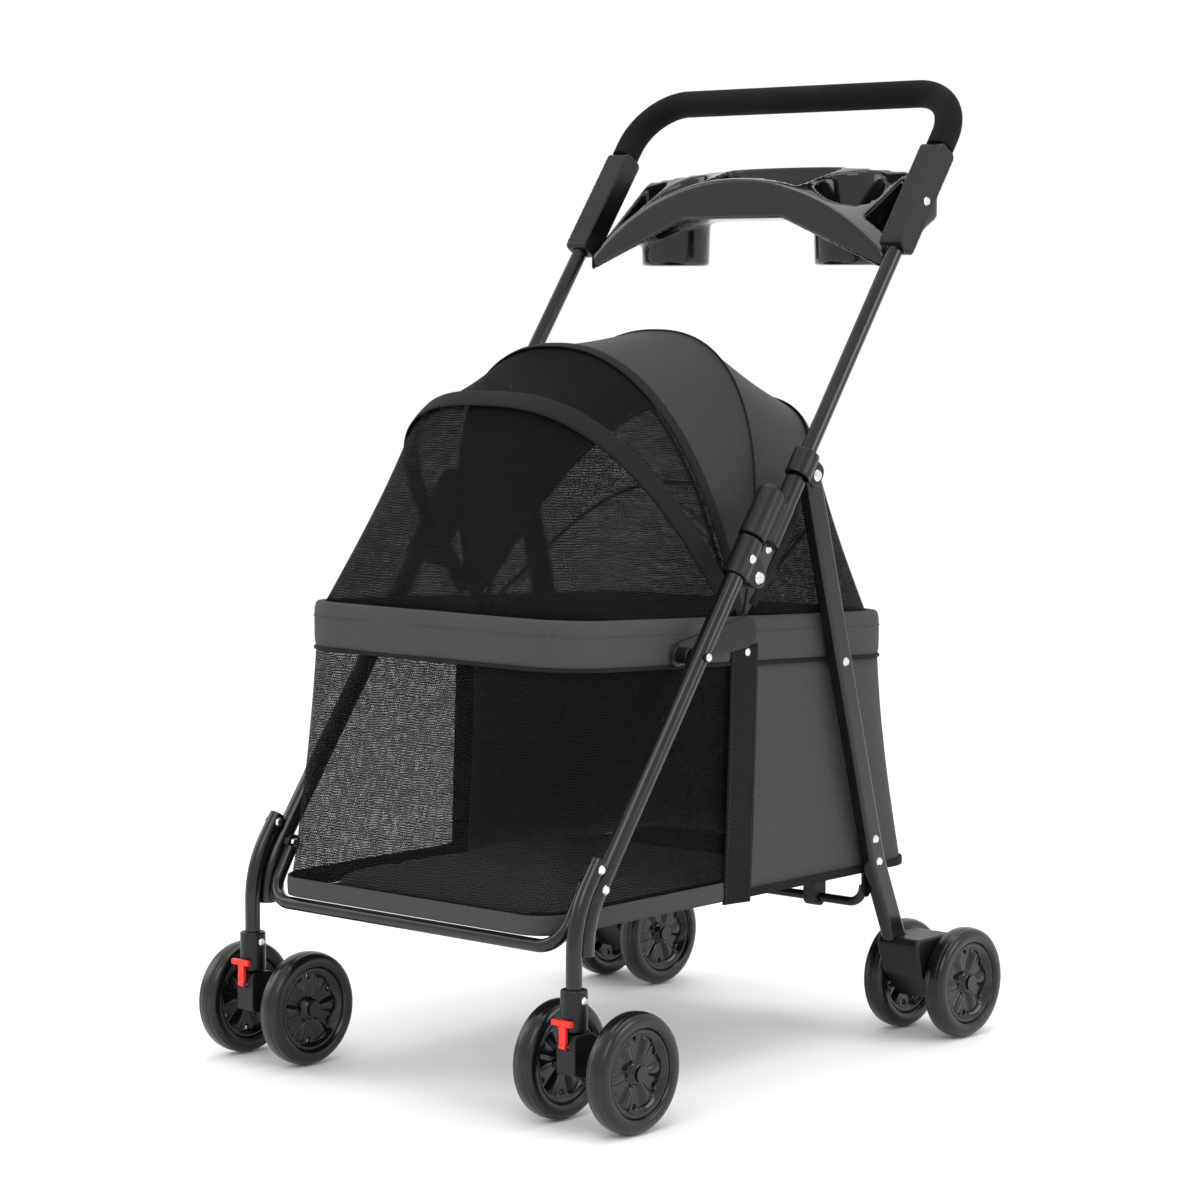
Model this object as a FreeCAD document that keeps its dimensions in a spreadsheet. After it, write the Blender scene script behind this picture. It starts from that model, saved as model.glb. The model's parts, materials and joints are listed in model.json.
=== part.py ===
import FreeCAD, Part
import math
import os
from FreeCAD import Placement, Rotation, Vector

# Pet stroller.  Millimetres, +Z up, front towards -Y, left of the pusher towards +X.
# The origin is on the ground under the middle of the whole stroller.

os.makedirs("parts", exist_ok=True)
doc = FreeCAD.newDocument("pet_stroller")

# ---------------------------------------------------------------- driving dimensions

SIZES = [
    ("wheel_radius", 57.5, "all eight wheels"),
    ("tyre_width", 25.0, "width of one tyre"),
    ("tyre_seat_radius", 43.0, "inside of the tyre, outside of the hub"),
    ("tread_corner", 9.0, "rounding of the tread shoulder"),
    ("hub_boss_radius", 12.0, "boss at the middle of a hub"),
    ("hub_boss_width", 20.0, "length of the boss along the axle"),
    ("hub_web", 6.0, "thickness of the hub disc"),
    ("hub_rim_width", 20.0, "width of the hub under the tyre"),
    ("hub_rim_depth", 4.0, "depth of the hub rim"),
    ("hub_window_radius", 5.0, "one of the holes in the hub disc"),
    ("hub_window_count", 6, "holes in one hub"),
    ("axle_radius", 4.0, "wheel axles"),
    ("axle_head_radius", 8.0, "head at each end of an axle"),
    ("axle_head_length", 2.2, "length of an axle head"),
    ("spin_clearance", 0.05, "radial running fit of wheels, pins and slides"),
    ("side_clearance", 0.1, "end play beside a wheel"),
    ("front_caster_across", 218.0, "caster stem from the middle plane"),
    ("front_twin_gap", 45.5, "front wheel from its caster stem"),
    ("caster_stem_back", -304.0, "caster stem along the stroller"),
    ("caster_trail", 31.0, "front axle behind its stem"),
    ("caster_width", 24.0, "swivel body across"),
    ("caster_nose", 12.0, "swivel body in front of its stem"),
    ("caster_top", 94.0, "top of the swivel body"),
    ("caster_boss_radius", 12.0, "swivel body around the axle"),
    ("stem_radius", 4.0, "swivel stem"),
    ("stem_length", 17.0, "swivel stem above the body"),
    ("socket_radius", 13.0, "caster socket"),
    ("socket_bottom", 95.0, "lower face of the caster socket"),
    ("socket_top", 135.0, "upper face of the caster socket"),
    ("lever_width", 24.0, "cross bar of the swivel lock lever"),
    ("lever_bar", 6.0, "height of that cross bar"),
    ("lever_stem", 8.0, "width of the lever stem"),
    ("lever_thick", 4.0, "lever front to back"),
    ("lever_pivot_height", 83.0, "lever hinge above the ground"),
    ("lever_top", 108.0, "top of the lever"),
    ("lever_pin", 1.5, "radius of the lever hinge"),
    ("rear_axle_back", 273.0, "rear axle along the stroller"),
    ("rear_wheels_across", 210.0, "middle of a rear wheel pair"),
    ("rear_twin_gap", 39.0, "rear wheel from the middle of its pair"),
    ("leg_across", 215.0, "front leg and handle tube from the middle plane"),
    ("leg_lean", 35.5, "lean of the legs and the handle from upright, degrees"),
    ("leg_ref_back", -135.25, "reference point on the front leg"),
    ("leg_ref_height", 407.3, "reference point on the front leg"),
    ("leg_radius", 9.5, "front leg tube"),
    ("leg_top", 160.0, "front leg above its reference point, along the tube"),
    ("leg_foot_height", 163.0, "lower end of the front leg tube"),
    ("leg_bend", 93.0, "bend at the foot of the front leg"),
    ("lower_tube_radius", 7.75, "bent tube that holds the caster"),
    ("lower_tube_gap", 0.4, "gap between that tube and the leg"),
    ("lower_tube_top", 250.0, "upper end of the caster tube"),
    ("lower_tube_seat", 112.0, "lower end of the caster tube in its socket"),
    ("tube_wall", 1.2, "wall of the round tubes"),
    ("handle_offset", 25.0, "handle tube behind the front leg"),
    ("handle_radius", 8.0, "handle tube"),
    ("handle_start", 172.0, "lower end of the handle tube along the leg"),
    ("handle_top", 728.0, "top bar of the handle along the leg"),
    ("handle_bend", 58.0, "corner of the handle"),
    ("grip_start", 655.0, "lower end of the foam grip"),
    ("grip_radius", 14.5, "foam grip"),
    ("hinge_along", 132.5, "main hinge along the leg"),
    ("hinge_pin_radius", 3.0, "main hinge pin and the other pivots"),
    ("fork_gap", 4.6, "inner face of a fork cheek from the tube plane"),
    ("fork_wall", 3.5, "thickness of a fork cheek"),
    ("fork_end", 11.0, "rounding of the fork around the hinge"),
    ("collar_radius", 13.0, "bracket around the leg"),
    ("collar_start", 118.0, "lower end of the bracket"),
    ("blade_half", 4.0, "half thickness of the handle blade"),
    ("blade_end", 10.0, "rounding of the blade around the hinge"),
    ("plug_length", 24.0, "handle end inside the tube"),
    ("slide_travel", 20.0, "lock sleeve travel"),
    ("sleeve_start", 162.5, "lower face of the lock sleeve"),
    ("sleeve_top", 215.0, "shoulder of the lock sleeve"),
    ("sleeve_radius", 14.0, "lock sleeve over the leg end"),
    ("sleeve_dome", 7.0, "domed top of the sleeve"),
    ("barrel_radius", 11.0, "lock sleeve around the handle tube"),
    ("barrel_start", 170.0, "lower end of that barrel"),
    ("neck_radius", 10.5, "thin neck of the lock sleeve"),
    ("neck_top", 247.0, "upper end of the neck"),
    ("nub_radius", 4.0, "locating nub on the leg end"),
    ("nub_length", 3.0, "length of the nub"),
    ("nub_cup_radius", 10.0, "mouth of the cup over the nub"),
    ("nub_cup_depth", 3.5, "depth of the cup over the nub"),
    ("saddle_radius", 13.5, "saddle on the handle tube"),
    ("saddle_start", 250.0, "lower end of the saddle"),
    ("saddle_length", 28.0, "length of the saddle"),
    ("saddle_shelf", 4.0, "closed top of the saddle"),
    ("saddle_bore", 11.0, "room for the lock sleeve neck"),
    ("rear_pivot_out", 59.5, "rear leg pivot behind the front leg line"),
    ("rear_pivot_along", 274.0, "rear leg pivot along the leg"),
    ("plate_gap", 0.6, "saddle plate to the rear leg"),
    ("plate_thick", 3.0, "saddle plate"),
    ("plate_half", 13.0, "half height of the saddle plate"),
    ("rear_leg_across", 197.0, "rear leg from the middle plane"),
    ("rear_leg_thick", 16.0, "rear leg across"),
    ("rear_leg_depth", 24.0, "rear leg front to back"),
    ("rear_leg_bend", 60.0, "bend of the rear leg"),
    ("rear_leg_edge", 4.5, "rounded edge of the rear leg"),
    ("rear_leg_wall", 2.2, "wall of the rear leg at its flats"),
    ("link_back", 125.5, "rear leg to rim pivot"),
    ("link_height", 404.0, "rear leg to rim pivot"),
    ("rear_bend_back", 184.0, "bend point of the rear leg"),
    ("rear_bend_height", 193.5, "bend point of the rear leg"),
    ("rear_foot_back", 230.0, "lower end of the rear leg"),
    ("rear_foot_height", 88.0, "lower end of the rear leg"),
    ("bracket_top", 108.0, "top of the wheel bracket"),
    ("bracket_gap", 0.5, "wheel bracket to the wheels"),
    ("bracket_hump", 27.0, "wheel bracket around the axle"),
    ("crossbar_radius", 4.75, "rear crossbar"),
    ("crossbar_back", 185.0, "rear crossbar along the stroller"),
    ("crossbar_height", 145.0, "rear crossbar above the ground"),
    ("crossbar_bend", 18.0, "corner of the rear crossbar"),
    ("crossbar_lug", 3.0, "flattened crossbar end"),
    ("crossbar_lug_top", 222.0, "upper end of the flattened part"),
    ("pedal_width", 34.0, "brake pedal across"),
    ("pedal_length", 26.0, "brake pedal front to back"),
    ("pedal_thick", 5.0, "brake pedal plate"),
    ("pedal_pivot_back", 297.0, "brake pedal hinge"),
    ("pedal_pin_step", 10.0, "pedal's pin behind the front of its slot"),
    ("crossbar_rivet_high", 395.0, "upper crossbar rivet down the rear leg"),
    ("crossbar_rivet_low", 420.0, "lower crossbar rivet down the rear leg"),
    ("hood_reach", 300.0, "reach of the hoops from the canopy pivot, at the top of the hood"),
    ("hood_front_reach", 285.0, "reach of the two front hoops from the canopy pivot"),
    ("hood_rear_reach", 240.0, "reach of the rear hoop from the canopy pivot"),
    ("canopy_rear_foot", 249.0, "reach of the canopy along the rear of the rim"),
    ("canopy_front_foot", 253.0, "reach of the canopy along the front of the rim"),
    ("pedal_pivot_height", 88.0, "brake pedal hinge"),
    ("rim_pivot_along", 27.3, "rim pivot along the leg"),
    ("rim_across", 177.9, "rim frame tube from the middle plane"),
    ("rim_radius", 4.0, "rim frame tube"),
    ("rim_front", -268.0, "front of the rim frame"),
    ("rim_back", 234.0, "rear of the rim frame"),
    ("rim_front_height", 447.5, "height of the rim frame at the front"),
    ("rim_drop", 0.0473, "fall of the rim towards the rear, per unit"),
    ("rim_corner", 48.0, "corner of the rim frame"),
    ("band_half", 24.0, "half height of the padded band on the rim"),
    ("cloth", 2.0, "thickness of the cabin cloth"),
    ("cabin_across", 184.0, "outside of the cabin cloth"),
    ("cabin_front", -305.0, "lower front of the cabin"),
    ("cabin_back", 273.0, "lower rear of the cabin"),
    ("cabin_bottom", 176.8, "underside of the cabin"),
    ("cabin_corner", 35.0, "lower corners of the cabin"),
    ("front_bar_radius", 6.5, "front bar under the cabin"),
    ("front_bar_across", 197.0, "ends of the front bar"),
    ("front_bar_back", -300.0, "front bar along the stroller"),
    ("front_bar_height", 169.0, "front bar above the ground"),
    ("front_bar_bend", 28.0, "corner of the front bar"),
    ("front_bar_along", -226.0, "front bar rivet along the leg"),
    ("board_half", 156.0, "floor board half width"),
    ("board_thick", 4.8, "floor board"),
    ("board_bottom", 179.2, "underside of the floor board"),
    ("board_front", -284.0, "front edge of the floor board"),
    ("board_back", 258.0, "rear edge of the floor board"),
    ("mat_half", 153.0, "floor mat half width"),
    ("mat_thick", 15.0, "floor mat"),
    ("mat_back", 95.0, "rear edge of the floor mat"),
    ("clip_across", 120.0, "board hinge clip from the middle plane"),
    ("clip_width", 16.0, "board hinge clip"),
    ("clip_end", 9.0, "board hinge clip around the crossbar"),
    ("canopy_back", -15.0, "canopy pivot"),
    ("canopy_height", 450.0, "canopy pivot"),
    ("canopy_across", 180.2, "canopy half width"),
    ("hoop_radius", 2.0, "canopy hoop wire"),
    ("hoop_inset", 7.0, "hoop inside the canopy cloth"),
    ("hoop_side_gap", 4.7, "outer hoop inside the canopy side"),
    ("hoop_step", 4.4, "hoop to hoop across, at the pivot"),
    ("hoop_eye", 6.0, "flat eye of a hoop"),
    ("hoop_eye_thick", 2.4, "flat eye of a hoop"),
    ("hoop_pin", 2.5, "pin through the hoop eyes"),
    ("strap_width", 42.0, "side strap"),
    ("strap_thick", 1.8, "side strap"),
    ("rivet_radius", 2.4, "rivet shank"),
    ("rivet_head", 4.6, "rivet head"),
    ("rivet_rise", 1.6, "rivet head above its seat"),
    ("tray_half", 199.9, "parent tray half width"),
    ("tray_front", 190.0, "front of the parent tray"),
    ("tray_back", 286.0, "rear of the parent tray"),
    ("tray_mid_top", 897.0, "front edge of the tray in the middle"),
    ("tray_end_top", 815.0, "front edge of the tray at its ends"),
    ("tray_back_mid", 913.0, "rear edge of the tray in the middle"),
    ("tray_back_end", 899.0, "rear edge of the tray at its ends"),
    ("tray_floor", 855.0, "underside of the tray in the middle"),
    ("tray_floor_half", 66.0, "half width of the level underside"),
    ("tray_end_floor", 800.0, "front underside of the tray at its ends"),
    ("tray_pocket_front", 18.0, "side pocket behind the front of the tray"),
    ("tray_pocket_rear", 8.0, "side pocket in front of the rear of the tray"),
    ("tray_bin_front", 12.0, "middle bin behind the front wall of the tray"),
    ("tray_bin_rear", 2.0, "middle bin in front of the rear wall of the tray"),
    ("tray_end_rim", 6.0, "width of the rim beside a side pocket"),
    ("tray_wall", 2.6, "wall of the tray"),
    ("cup_across", 119.0, "cup holder from the middle plane"),
    ("cup_back", 240.0, "cup holder along the stroller"),
    ("cup_radius", 40.0, "cup holder outside, at its mouth"),
    ("cup_taper", 3.5, "cup holder radius lost down to its bottom"),
    ("cup_bottom", 806.0, "bottom of the cup holder"),
    ("clamp_start", 526.0, "tray clamp along the handle"),
    ("clamp_gap", 1.0, "tray clamp below the foam grip"),
    ("clamp_half", 13.0, "tray clamp around the handle tube"),
    ("clamp_screw_along", 587.0, "clamp screw along the handle"),
]

sheet = doc.addObject("Spreadsheet::Sheet", "sizes")
for row, (alias, value, note) in enumerate(SIZES, start=1):
    sheet.set(f"A{row}", alias)
    sheet.set(f"B{row}", str(value))
    sheet.set(f"C{row}", note)
    sheet.setAlias(f"B{row}", alias)
doc.recompute()


class Sizes:
    """Reads a driving dimension from the sheet by its alias."""

    def __getattr__(self, alias):
        return float(sheet.get(alias))


size = Sizes()
PARTS = {}
SIDES = (("left", 1), ("right", -1))

# ---------------------------------------------------------------- places

LEAN = math.radians(size.leg_lean)


def on_leg(x, out, along):
    """A point in the plane of a leg: out is rearward of the leg axis, along runs up it."""
    back = size.leg_ref_back + along * math.sin(LEAN) + out * math.cos(LEAN)
    height = size.leg_ref_height + along * math.cos(LEAN) - out * math.sin(LEAN)
    return Vector(x, back, height)


def flat(point):
    """The side view (back, height) of a point."""
    return (point.y, point.z)


def side_point(x, pair):
    return Vector(x, pair[0], pair[1])


HINGE = flat(on_leg(0, size.handle_offset, size.hinge_along))
REAR_PIVOT = flat(on_leg(0, size.rear_pivot_out, size.rear_pivot_along))
RIM_PIVOT = flat(on_leg(0, 0, size.rim_pivot_along))
LINK = (size.link_back, size.link_height)
CANOPY = (size.canopy_back, size.canopy_height)
CROSSBAR = (size.crossbar_back, size.crossbar_height)
FRONT_AXLE = (size.caster_stem_back + size.caster_trail, size.wheel_radius)
REAR_AXLE = (size.rear_axle_back, size.wheel_radius)
# how far a cutting tool runs past the piece that it cuts
CUT_MARGIN = 30.0
PIN_REACH = 30.0
# half length of a tool that runs across the whole stroller
ACROSS_ALL = 300.0
# room between a moulding and the tube that it is pressed on
PRESS_GAP = 0.02
# a rivet's distance from the end of the tube that it holds
RIVET_INSET = 12.0
PIN_BORE = size.hinge_pin_radius + size.spin_clearance


def rim_height(back):
    """Height of the rim frame's centre line."""
    return size.rim_front_height - size.rim_drop * (back - size.rim_front)


# ---------------------------------------------------------------- shapes


def feature(label, shape):
    """A sub-part whose shape is worked out here."""
    item = doc.addObject("Part::Feature", label)
    item.Label = label
    item.Shape = shape
    item.Placement = Placement()
    PARTS[label] = item
    return item


def rounded(points, radii):
    """Edges of a closed outline: straight runs joined by tangent arcs."""
    count = len(points)
    starts = []
    ends = []
    middles = []
    for index in range(count):
        here = points[index]
        before = (points[index - 1] - here).normalize()
        after = (points[(index + 1) % count] - here).normalize()
        half = before.getAngle(after) / 2
        reach = radii[index] / math.tan(half)
        starts.append(here + before * reach)
        ends.append(here + after * reach)
        bisector = (before + after).normalize()
        middles.append(here + bisector * (radii[index] / math.sin(half) - radii[index]))
    edges = []
    for index in range(count):
        if radii[index] > 0:
            edges.append(Part.Arc(starts[index], middles[index], ends[index]))
        following = starts[(index + 1) % count]
        if (following - ends[index]).Length > 1e-6:
            edges.append(Part.LineSegment(ends[index], following))
    return edges


def link_outline(first, first_radius, second, second_radius):
    """Edges of the outline around two circles and their outer tangents (side view)."""
    start = Vector(first[0], first[1], 0)
    end = Vector(second[0], second[1], 0)
    axis = end - start
    heading = math.atan2(axis.y, axis.x)
    opening = math.acos((first_radius - second_radius) / axis.Length)

    def at(centre, radius, angle):
        return centre + Vector(radius * math.cos(angle), radius * math.sin(angle), 0)

    above = heading + opening
    below = heading - opening
    return [
        Part.LineSegment(at(start, first_radius, above), at(end, second_radius, above)),
        Part.Arc(at(end, second_radius, above), at(end, second_radius, heading),
                 at(end, second_radius, below)),
        Part.LineSegment(at(end, second_radius, below), at(start, first_radius, below)),
        Part.Arc(at(start, first_radius, below), at(start, first_radius, heading + math.pi),
                 at(start, first_radius, above)),
    ]


def side_slab(edges, low, high):
    """A plate across the stroller whose side view is the outline."""
    face = Part.Face(Part.Wire([edge.toShape() for edge in edges]))
    plate = face.extrude(Vector(0, 0, high - low))
    turn = Rotation(Vector(0, 1, 0), Vector(0, 0, 1), Vector(1, 0, 0), "XYZ")
    plate.Placement = Placement(Vector(low, 0, 0), turn)
    return plate


def side_link(first, first_radius, second, second_radius, low, high):
    return side_slab(link_outline(first, first_radius, second, second_radius), low, high)


def side_polygon(pairs, radii, low, high):
    points = [Vector(back, height, 0) for back, height in pairs]
    return side_slab(rounded(points, radii), low, high)


def across(pair, radius, low, high):
    """A round bar across the stroller at a place in the side view."""
    return Part.makeCylinder(radius, high - low, side_point(low, pair), Vector(1, 0, 0))


def along_leg(out, x, radius, start, end):
    """A round bar that runs up a leg."""
    foot = on_leg(x, out, start)
    head = on_leg(x, out, end)
    return Part.makeCylinder(radius, end - start, foot, head - foot)


def bent_path(points, radii):
    """An open path of straight runs joined by tangent arcs."""
    edges = []
    here = points[0]
    for index in range(1, len(points) - 1):
        corner = points[index]
        before = (points[index - 1] - corner).normalize()
        after = (points[index + 1] - corner).normalize()
        half = before.getAngle(after) / 2
        radius = radii[index - 1]
        reach = radius / math.tan(half)
        middle = corner + (before + after).normalize() * (radius / math.sin(half) - radius)
        start = corner + before * reach
        end = corner + after * reach
        if (start - here).Length > 1e-4:
            edges.append(Part.LineSegment(here, start).toShape())
        edges.append(Part.Arc(start, middle, end).toShape())
        here = end
    if (points[-1] - here).Length > 1e-4:
        edges.append(Part.LineSegment(here, points[-1]).toShape())
    return Part.Wire(edges)


def rod(points, radii, radius):
    """A solid round bar along a bent path."""
    path = bent_path(points, radii)
    heading = points[1] - points[0]
    section = Part.Wire(Part.makeCircle(radius, points[0], heading))
    return path.makePipeShell([section], True, False)


def tube(points, radii, radius, wall):
    return rod(points, radii, radius).cut(rod(points, radii, radius - wall))


def mirrored(shape):
    """The same shape on the other side of the middle plane."""
    return shape.mirror(Vector(0, 0, 0), Vector(1, 0, 0))


def on_side(shape, sign):
    return shape if sign > 0 else mirrored(shape)


def both_sides(shape):
    return Part.makeCompound([shape, mirrored(shape)])


def rivet(pair, low, high, head=None):
    """A rivet across the stroller, its shank from low to high, with a head at each end."""
    head_radius = head or size.rivet_head
    rise = size.rivet_rise
    shank = across(pair, size.rivet_radius, low, high)
    heads = []
    for face, sign in ((low, -1), (high, 1)):
        cap = Part.makeCone(head_radius, head_radius * 0.7, rise,
                            side_point(face, pair), Vector(sign, 0, 0))
        heads.append(cap)
    return shank.multiFuse(heads).removeSplitter()


def rivet_hole(pair, low, high):
    return across(pair, size.rivet_radius, low, high)


# ---------------------------------------------------------------- document objects


def role(body, name):
    """One of a body's origin planes or axes."""
    return next(item for item in body.Origin.OriginFeatures if item.Role == name)


def sketch_in(body, name, plane, edges):
    sketch = body.newObject("Sketcher::SketchObject", name)
    sketch.AttachmentSupport = [(role(body, plane), "")]
    sketch.MapMode = "FlatFace"
    sketch.addGeometry(edges, False)
    return sketch


def turned_body(label, edges):
    """A body turned about the X axis; the outline is (x, radius)."""
    body = doc.addObject("PartDesign::Body", label)
    body.Label = label
    sketch = sketch_in(body, label + "_profile", "XY_Plane", edges)
    turn = body.newObject("PartDesign::Revolution", label + "_turn")
    turn.Profile = sketch
    turn.ReferenceAxis = (sketch, ["H_Axis"])
    turn.Angle = 360
    sketch.Visibility = False
    body.Tip = turn
    PARTS[label] = body
    return body


def padded_body(label, edges, plane, length):
    """A body padded from one outline, its length bound to the sheet."""
    body = doc.addObject("PartDesign::Body", label)
    body.Label = label
    sketch = sketch_in(body, label + "_outline", plane, edges)
    pad = body.newObject("PartDesign::Pad", label + "_pad")
    pad.Profile = sketch
    pad.setExpression("Length", length)
    body.Tip = pad
    PARTS[label] = body
    return body


def end_faces(shape):
    """Numbers of the two faces that close a pad."""
    areas = []
    for number, face in enumerate(shape.Faces, start=1):
        normal = face.normalAt(0, 0)
        flatness = isinstance(face.Surface, Part.Plane)
        if flatness and abs(abs(normal.x) - 1) < 1e-6:
            areas.append(number)
        elif flatness and abs(abs(normal.z) - 1) < 1e-6 and shape.BoundBox.ZLength < 40:
            areas.append(number)
    return areas


# ---------------------------------------------------------------- wheels


def tyre_outline():
    half = size.tyre_width / 2
    inner = size.tyre_seat_radius
    outer = size.wheel_radius
    corners = [Vector(-half, inner, 0), Vector(half, inner, 0),
               Vector(half, outer, 0), Vector(-half, outer, 0)]
    return rounded(corners, [1.5, 1.5, size.tread_corner, size.tread_corner])


def hub_outline():
    bore = size.axle_radius + size.spin_clearance
    boss = size.hub_boss_radius
    boss_half = size.hub_boss_width / 2
    web = size.hub_web / 2
    seat = size.tyre_seat_radius
    rim = seat - size.hub_rim_depth
    rim_half = size.hub_rim_width / 2
    right = [(boss_half, bore), (boss_half, boss), (web, boss + 3), (web, rim - 3),
             (rim_half, rim), (rim_half, seat)]
    left = [(-across_half, radius) for across_half, radius in reversed(right)]
    corners = [Vector(x, radius, 0) for x, radius in right + left]
    return rounded(corners, [0] * len(corners))


def hub_windows(body, label):
    """A ring of round holes through the disc of a hub."""
    doc.recompute()
    middle = (size.hub_boss_radius + size.tyre_seat_radius) / 2 - 1
    circle = Part.Circle(Vector(middle, 0, 0), Vector(0, 0, 1), size.hub_window_radius)
    sketch = sketch_in(body, label + "_window", "YZ_Plane", [circle])
    pocket = body.newObject("PartDesign::Pocket", label + "_hole")
    pocket.Profile = sketch
    pocket.Type = "ThroughAll"
    pocket.Midplane = True
    body.Tip = pocket
    ring = body.newObject("PartDesign::PolarPattern", label + "_ring")
    ring.Originals = [pocket]
    ring.Axis = (role(body, "X_Axis"), [""])
    ring.Angle = 360
    ring.setExpression("Occurrences", "sizes.hub_window_count")
    body.Tip = ring


def wheel(name, centre):
    """One wheel: a tyre on a hub."""
    place = Placement(centre, Rotation())
    tyre = turned_body("tyre_" + name, tyre_outline())
    tyre.Placement = place
    hub = turned_body("hub_" + name, hub_outline())
    hub_windows(hub, "hub_" + name)
    hub.Placement = place


def wheels():
    for side, sign in SIDES:
        for twin, step in (("outer", 1), ("inner", -1)):
            front = sign * (size.front_caster_across + step * size.front_twin_gap)
            wheel(f"front_{side}_{twin}", side_point(front, FRONT_AXLE))
            rear = sign * (size.rear_wheels_across + step * size.rear_twin_gap)
            wheel(f"rear_{side}_{twin}", side_point(rear, REAR_AXLE))


def axle_shape(middle, twin_gap, collar_half, axle_place):
    """An axle with a head at each end and a collar beside what carries it."""
    boss = size.hub_boss_width / 2 + size.side_clearance
    reach = twin_gap + boss
    bar = across(axle_place, size.axle_radius, middle - reach, middle + reach)
    pieces = []
    for sign in (-1, 1):
        start = middle + sign * reach
        end = start + sign * size.axle_head_length
        pieces.append(across(axle_place, size.axle_head_radius, min(start, end), max(start, end)))
        inner = middle + sign * collar_half
        outer = middle + sign * (twin_gap - boss)
        if (outer - inner) * sign > 1:
            low, high = min(inner, outer), max(inner, outer)
            pieces.append(across(axle_place, size.axle_radius + 2, low, high))
    return bar.multiFuse(pieces).removeSplitter()


def axles():
    front = axle_shape(size.front_caster_across, size.front_twin_gap,
                       size.caster_width / 2, FRONT_AXLE)
    for side, sign in SIDES:
        feature("caster_axle_" + side, on_side(front, sign))
    rear = axle_shape(size.rear_wheels_across, size.rear_twin_gap, size.rear_twin_gap, REAR_AXLE)
    feature("rear_axles", both_sides(rear))


# ---------------------------------------------------------------- casters

LEVER_BACK = size.caster_stem_back - size.caster_nose - size.lever_thick - 1.0
LEVER_PIVOT = (LEVER_BACK + size.lever_thick / 2, size.lever_pivot_height)


def caster_body():
    """The swivel body, its stem and the ears of the lock lever."""
    x = size.front_caster_across
    half = size.caster_width / 2
    nose = size.caster_stem_back - size.caster_nose
    heel = size.caster_stem_back + size.caster_nose + 2
    axle_back, axle_height = FRONT_AXLE
    boss = size.caster_boss_radius
    outline = [(nose, axle_height - 2), (nose, size.caster_top), (heel, size.caster_top),
               (axle_back + boss, axle_height + boss), (axle_back + boss, axle_height - boss),
               (axle_back - boss, axle_height - boss)]
    body = side_polygon(outline, [3, 4, 6, 10, 10, 8], x - half, x + half)
    stem = Part.makeCylinder(size.stem_radius, size.stem_length,
                             Vector(x, size.caster_stem_back, size.caster_top))
    ears = []
    for sign in (-1, 1):
        near = x + sign * (size.lever_stem / 2 + 0.3)
        far = near + sign * 2.6
        root = (nose + 3, size.lever_pivot_height)
        ears.append(side_link(LEVER_PIVOT, 3.4, root, 3.4, min(near, far), max(near, far)))
    solid = body.multiFuse([stem] + ears).removeSplitter()
    bores = across(FRONT_AXLE, size.axle_radius, x - half, x + half)
    ear_bore = across(LEVER_PIVOT, size.lever_pin + size.spin_clearance, x - half, x + half)
    return solid.cut(bores).cut(ear_bore)


def swivel_lock():
    """The small lever in front of the swivel body, with its own hinge pin."""
    x = size.front_caster_across
    half = size.lever_stem / 2
    thick = size.lever_thick
    top = size.lever_top
    stem = side_polygon([(LEVER_BACK, LEVER_PIVOT[1]), (LEVER_BACK, top),
                         (LEVER_BACK + thick, top), (LEVER_BACK + thick, LEVER_PIVOT[1])],
                        [0, 1, 1, 0], x - half, x + half)
    barrel = across(LEVER_PIVOT, 3.0, x - half, x + half)
    pin = across(LEVER_PIVOT, size.lever_pin, x - half - 2.8, x + half + 2.8)
    reach = size.lever_width / 2
    bar = side_polygon([(LEVER_BACK - 2, top - size.lever_bar), (LEVER_BACK - 2, top),
                        (LEVER_BACK + thick - 1, top), (LEVER_BACK + thick - 1, top - size.lever_bar)],
                       [1.5, 1.5, 1, 1], x - reach, x + reach)
    return stem.multiFuse([barrel, pin, bar]).removeSplitter()


def caster_socket():
    """The fixed socket: the caster tube from above, the swivel stem from below."""
    x = size.front_caster_across
    base = Vector(x, size.caster_stem_back, size.socket_bottom)
    height = size.socket_top - size.socket_bottom
    outer = Part.makeCylinder(size.socket_radius, height, base)
    outer = outer.makeChamfer(1.5, [edge for edge in outer.Edges if edge.Length > 60 and edge.Closed])
    seat = Part.makeCylinder(size.lower_tube_radius + 0.02, height,
                             Vector(x, size.caster_stem_back, size.lower_tube_seat))
    stem = Part.makeCylinder(size.stem_radius + size.spin_clearance, height, base)
    pin = rivet_hole((size.caster_stem_back, socket_rivet_height()), x - PIN_REACH, x + PIN_REACH)
    return outer.cut(seat).cut(stem).cut(pin)


def socket_rivet_height():
    return size.socket_top - 10


def casters():
    for side, sign in SIDES:
        feature("caster_body_" + side, on_side(caster_body(), sign))
        feature("swivel_lock_" + side, on_side(swivel_lock(), sign))
    feature("caster_sockets", both_sides(caster_socket()))


# ---------------------------------------------------------------- front frame

LOWER_OUT = -(size.leg_radius + size.lower_tube_radius + size.lower_tube_gap)
LOWER_OUT_FLAT = -math.sqrt(LOWER_OUT ** 2 - (size.front_caster_across - size.leg_across) ** 2)
COLLAR_RIVET = flat(on_leg(0, 0, (size.collar_start + size.leg_top) / 2))
BAR_RIVET = flat(on_leg(0, 0, size.front_bar_along))
JOIN_RIVET = flat(on_leg(0, LOWER_OUT_FLAT, size.front_bar_along + RIVET_INSET))


def height_along(out, height):
    """How far along the leg a line at this offset reaches a height."""
    return (height - size.leg_ref_height + out * math.sin(LEAN)) / math.cos(LEAN)


def back_along(out, back):
    """How far along the leg a line at this offset reaches a place along the stroller."""
    return (back - size.leg_ref_back - out * math.cos(LEAN)) / math.sin(LEAN)


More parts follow.
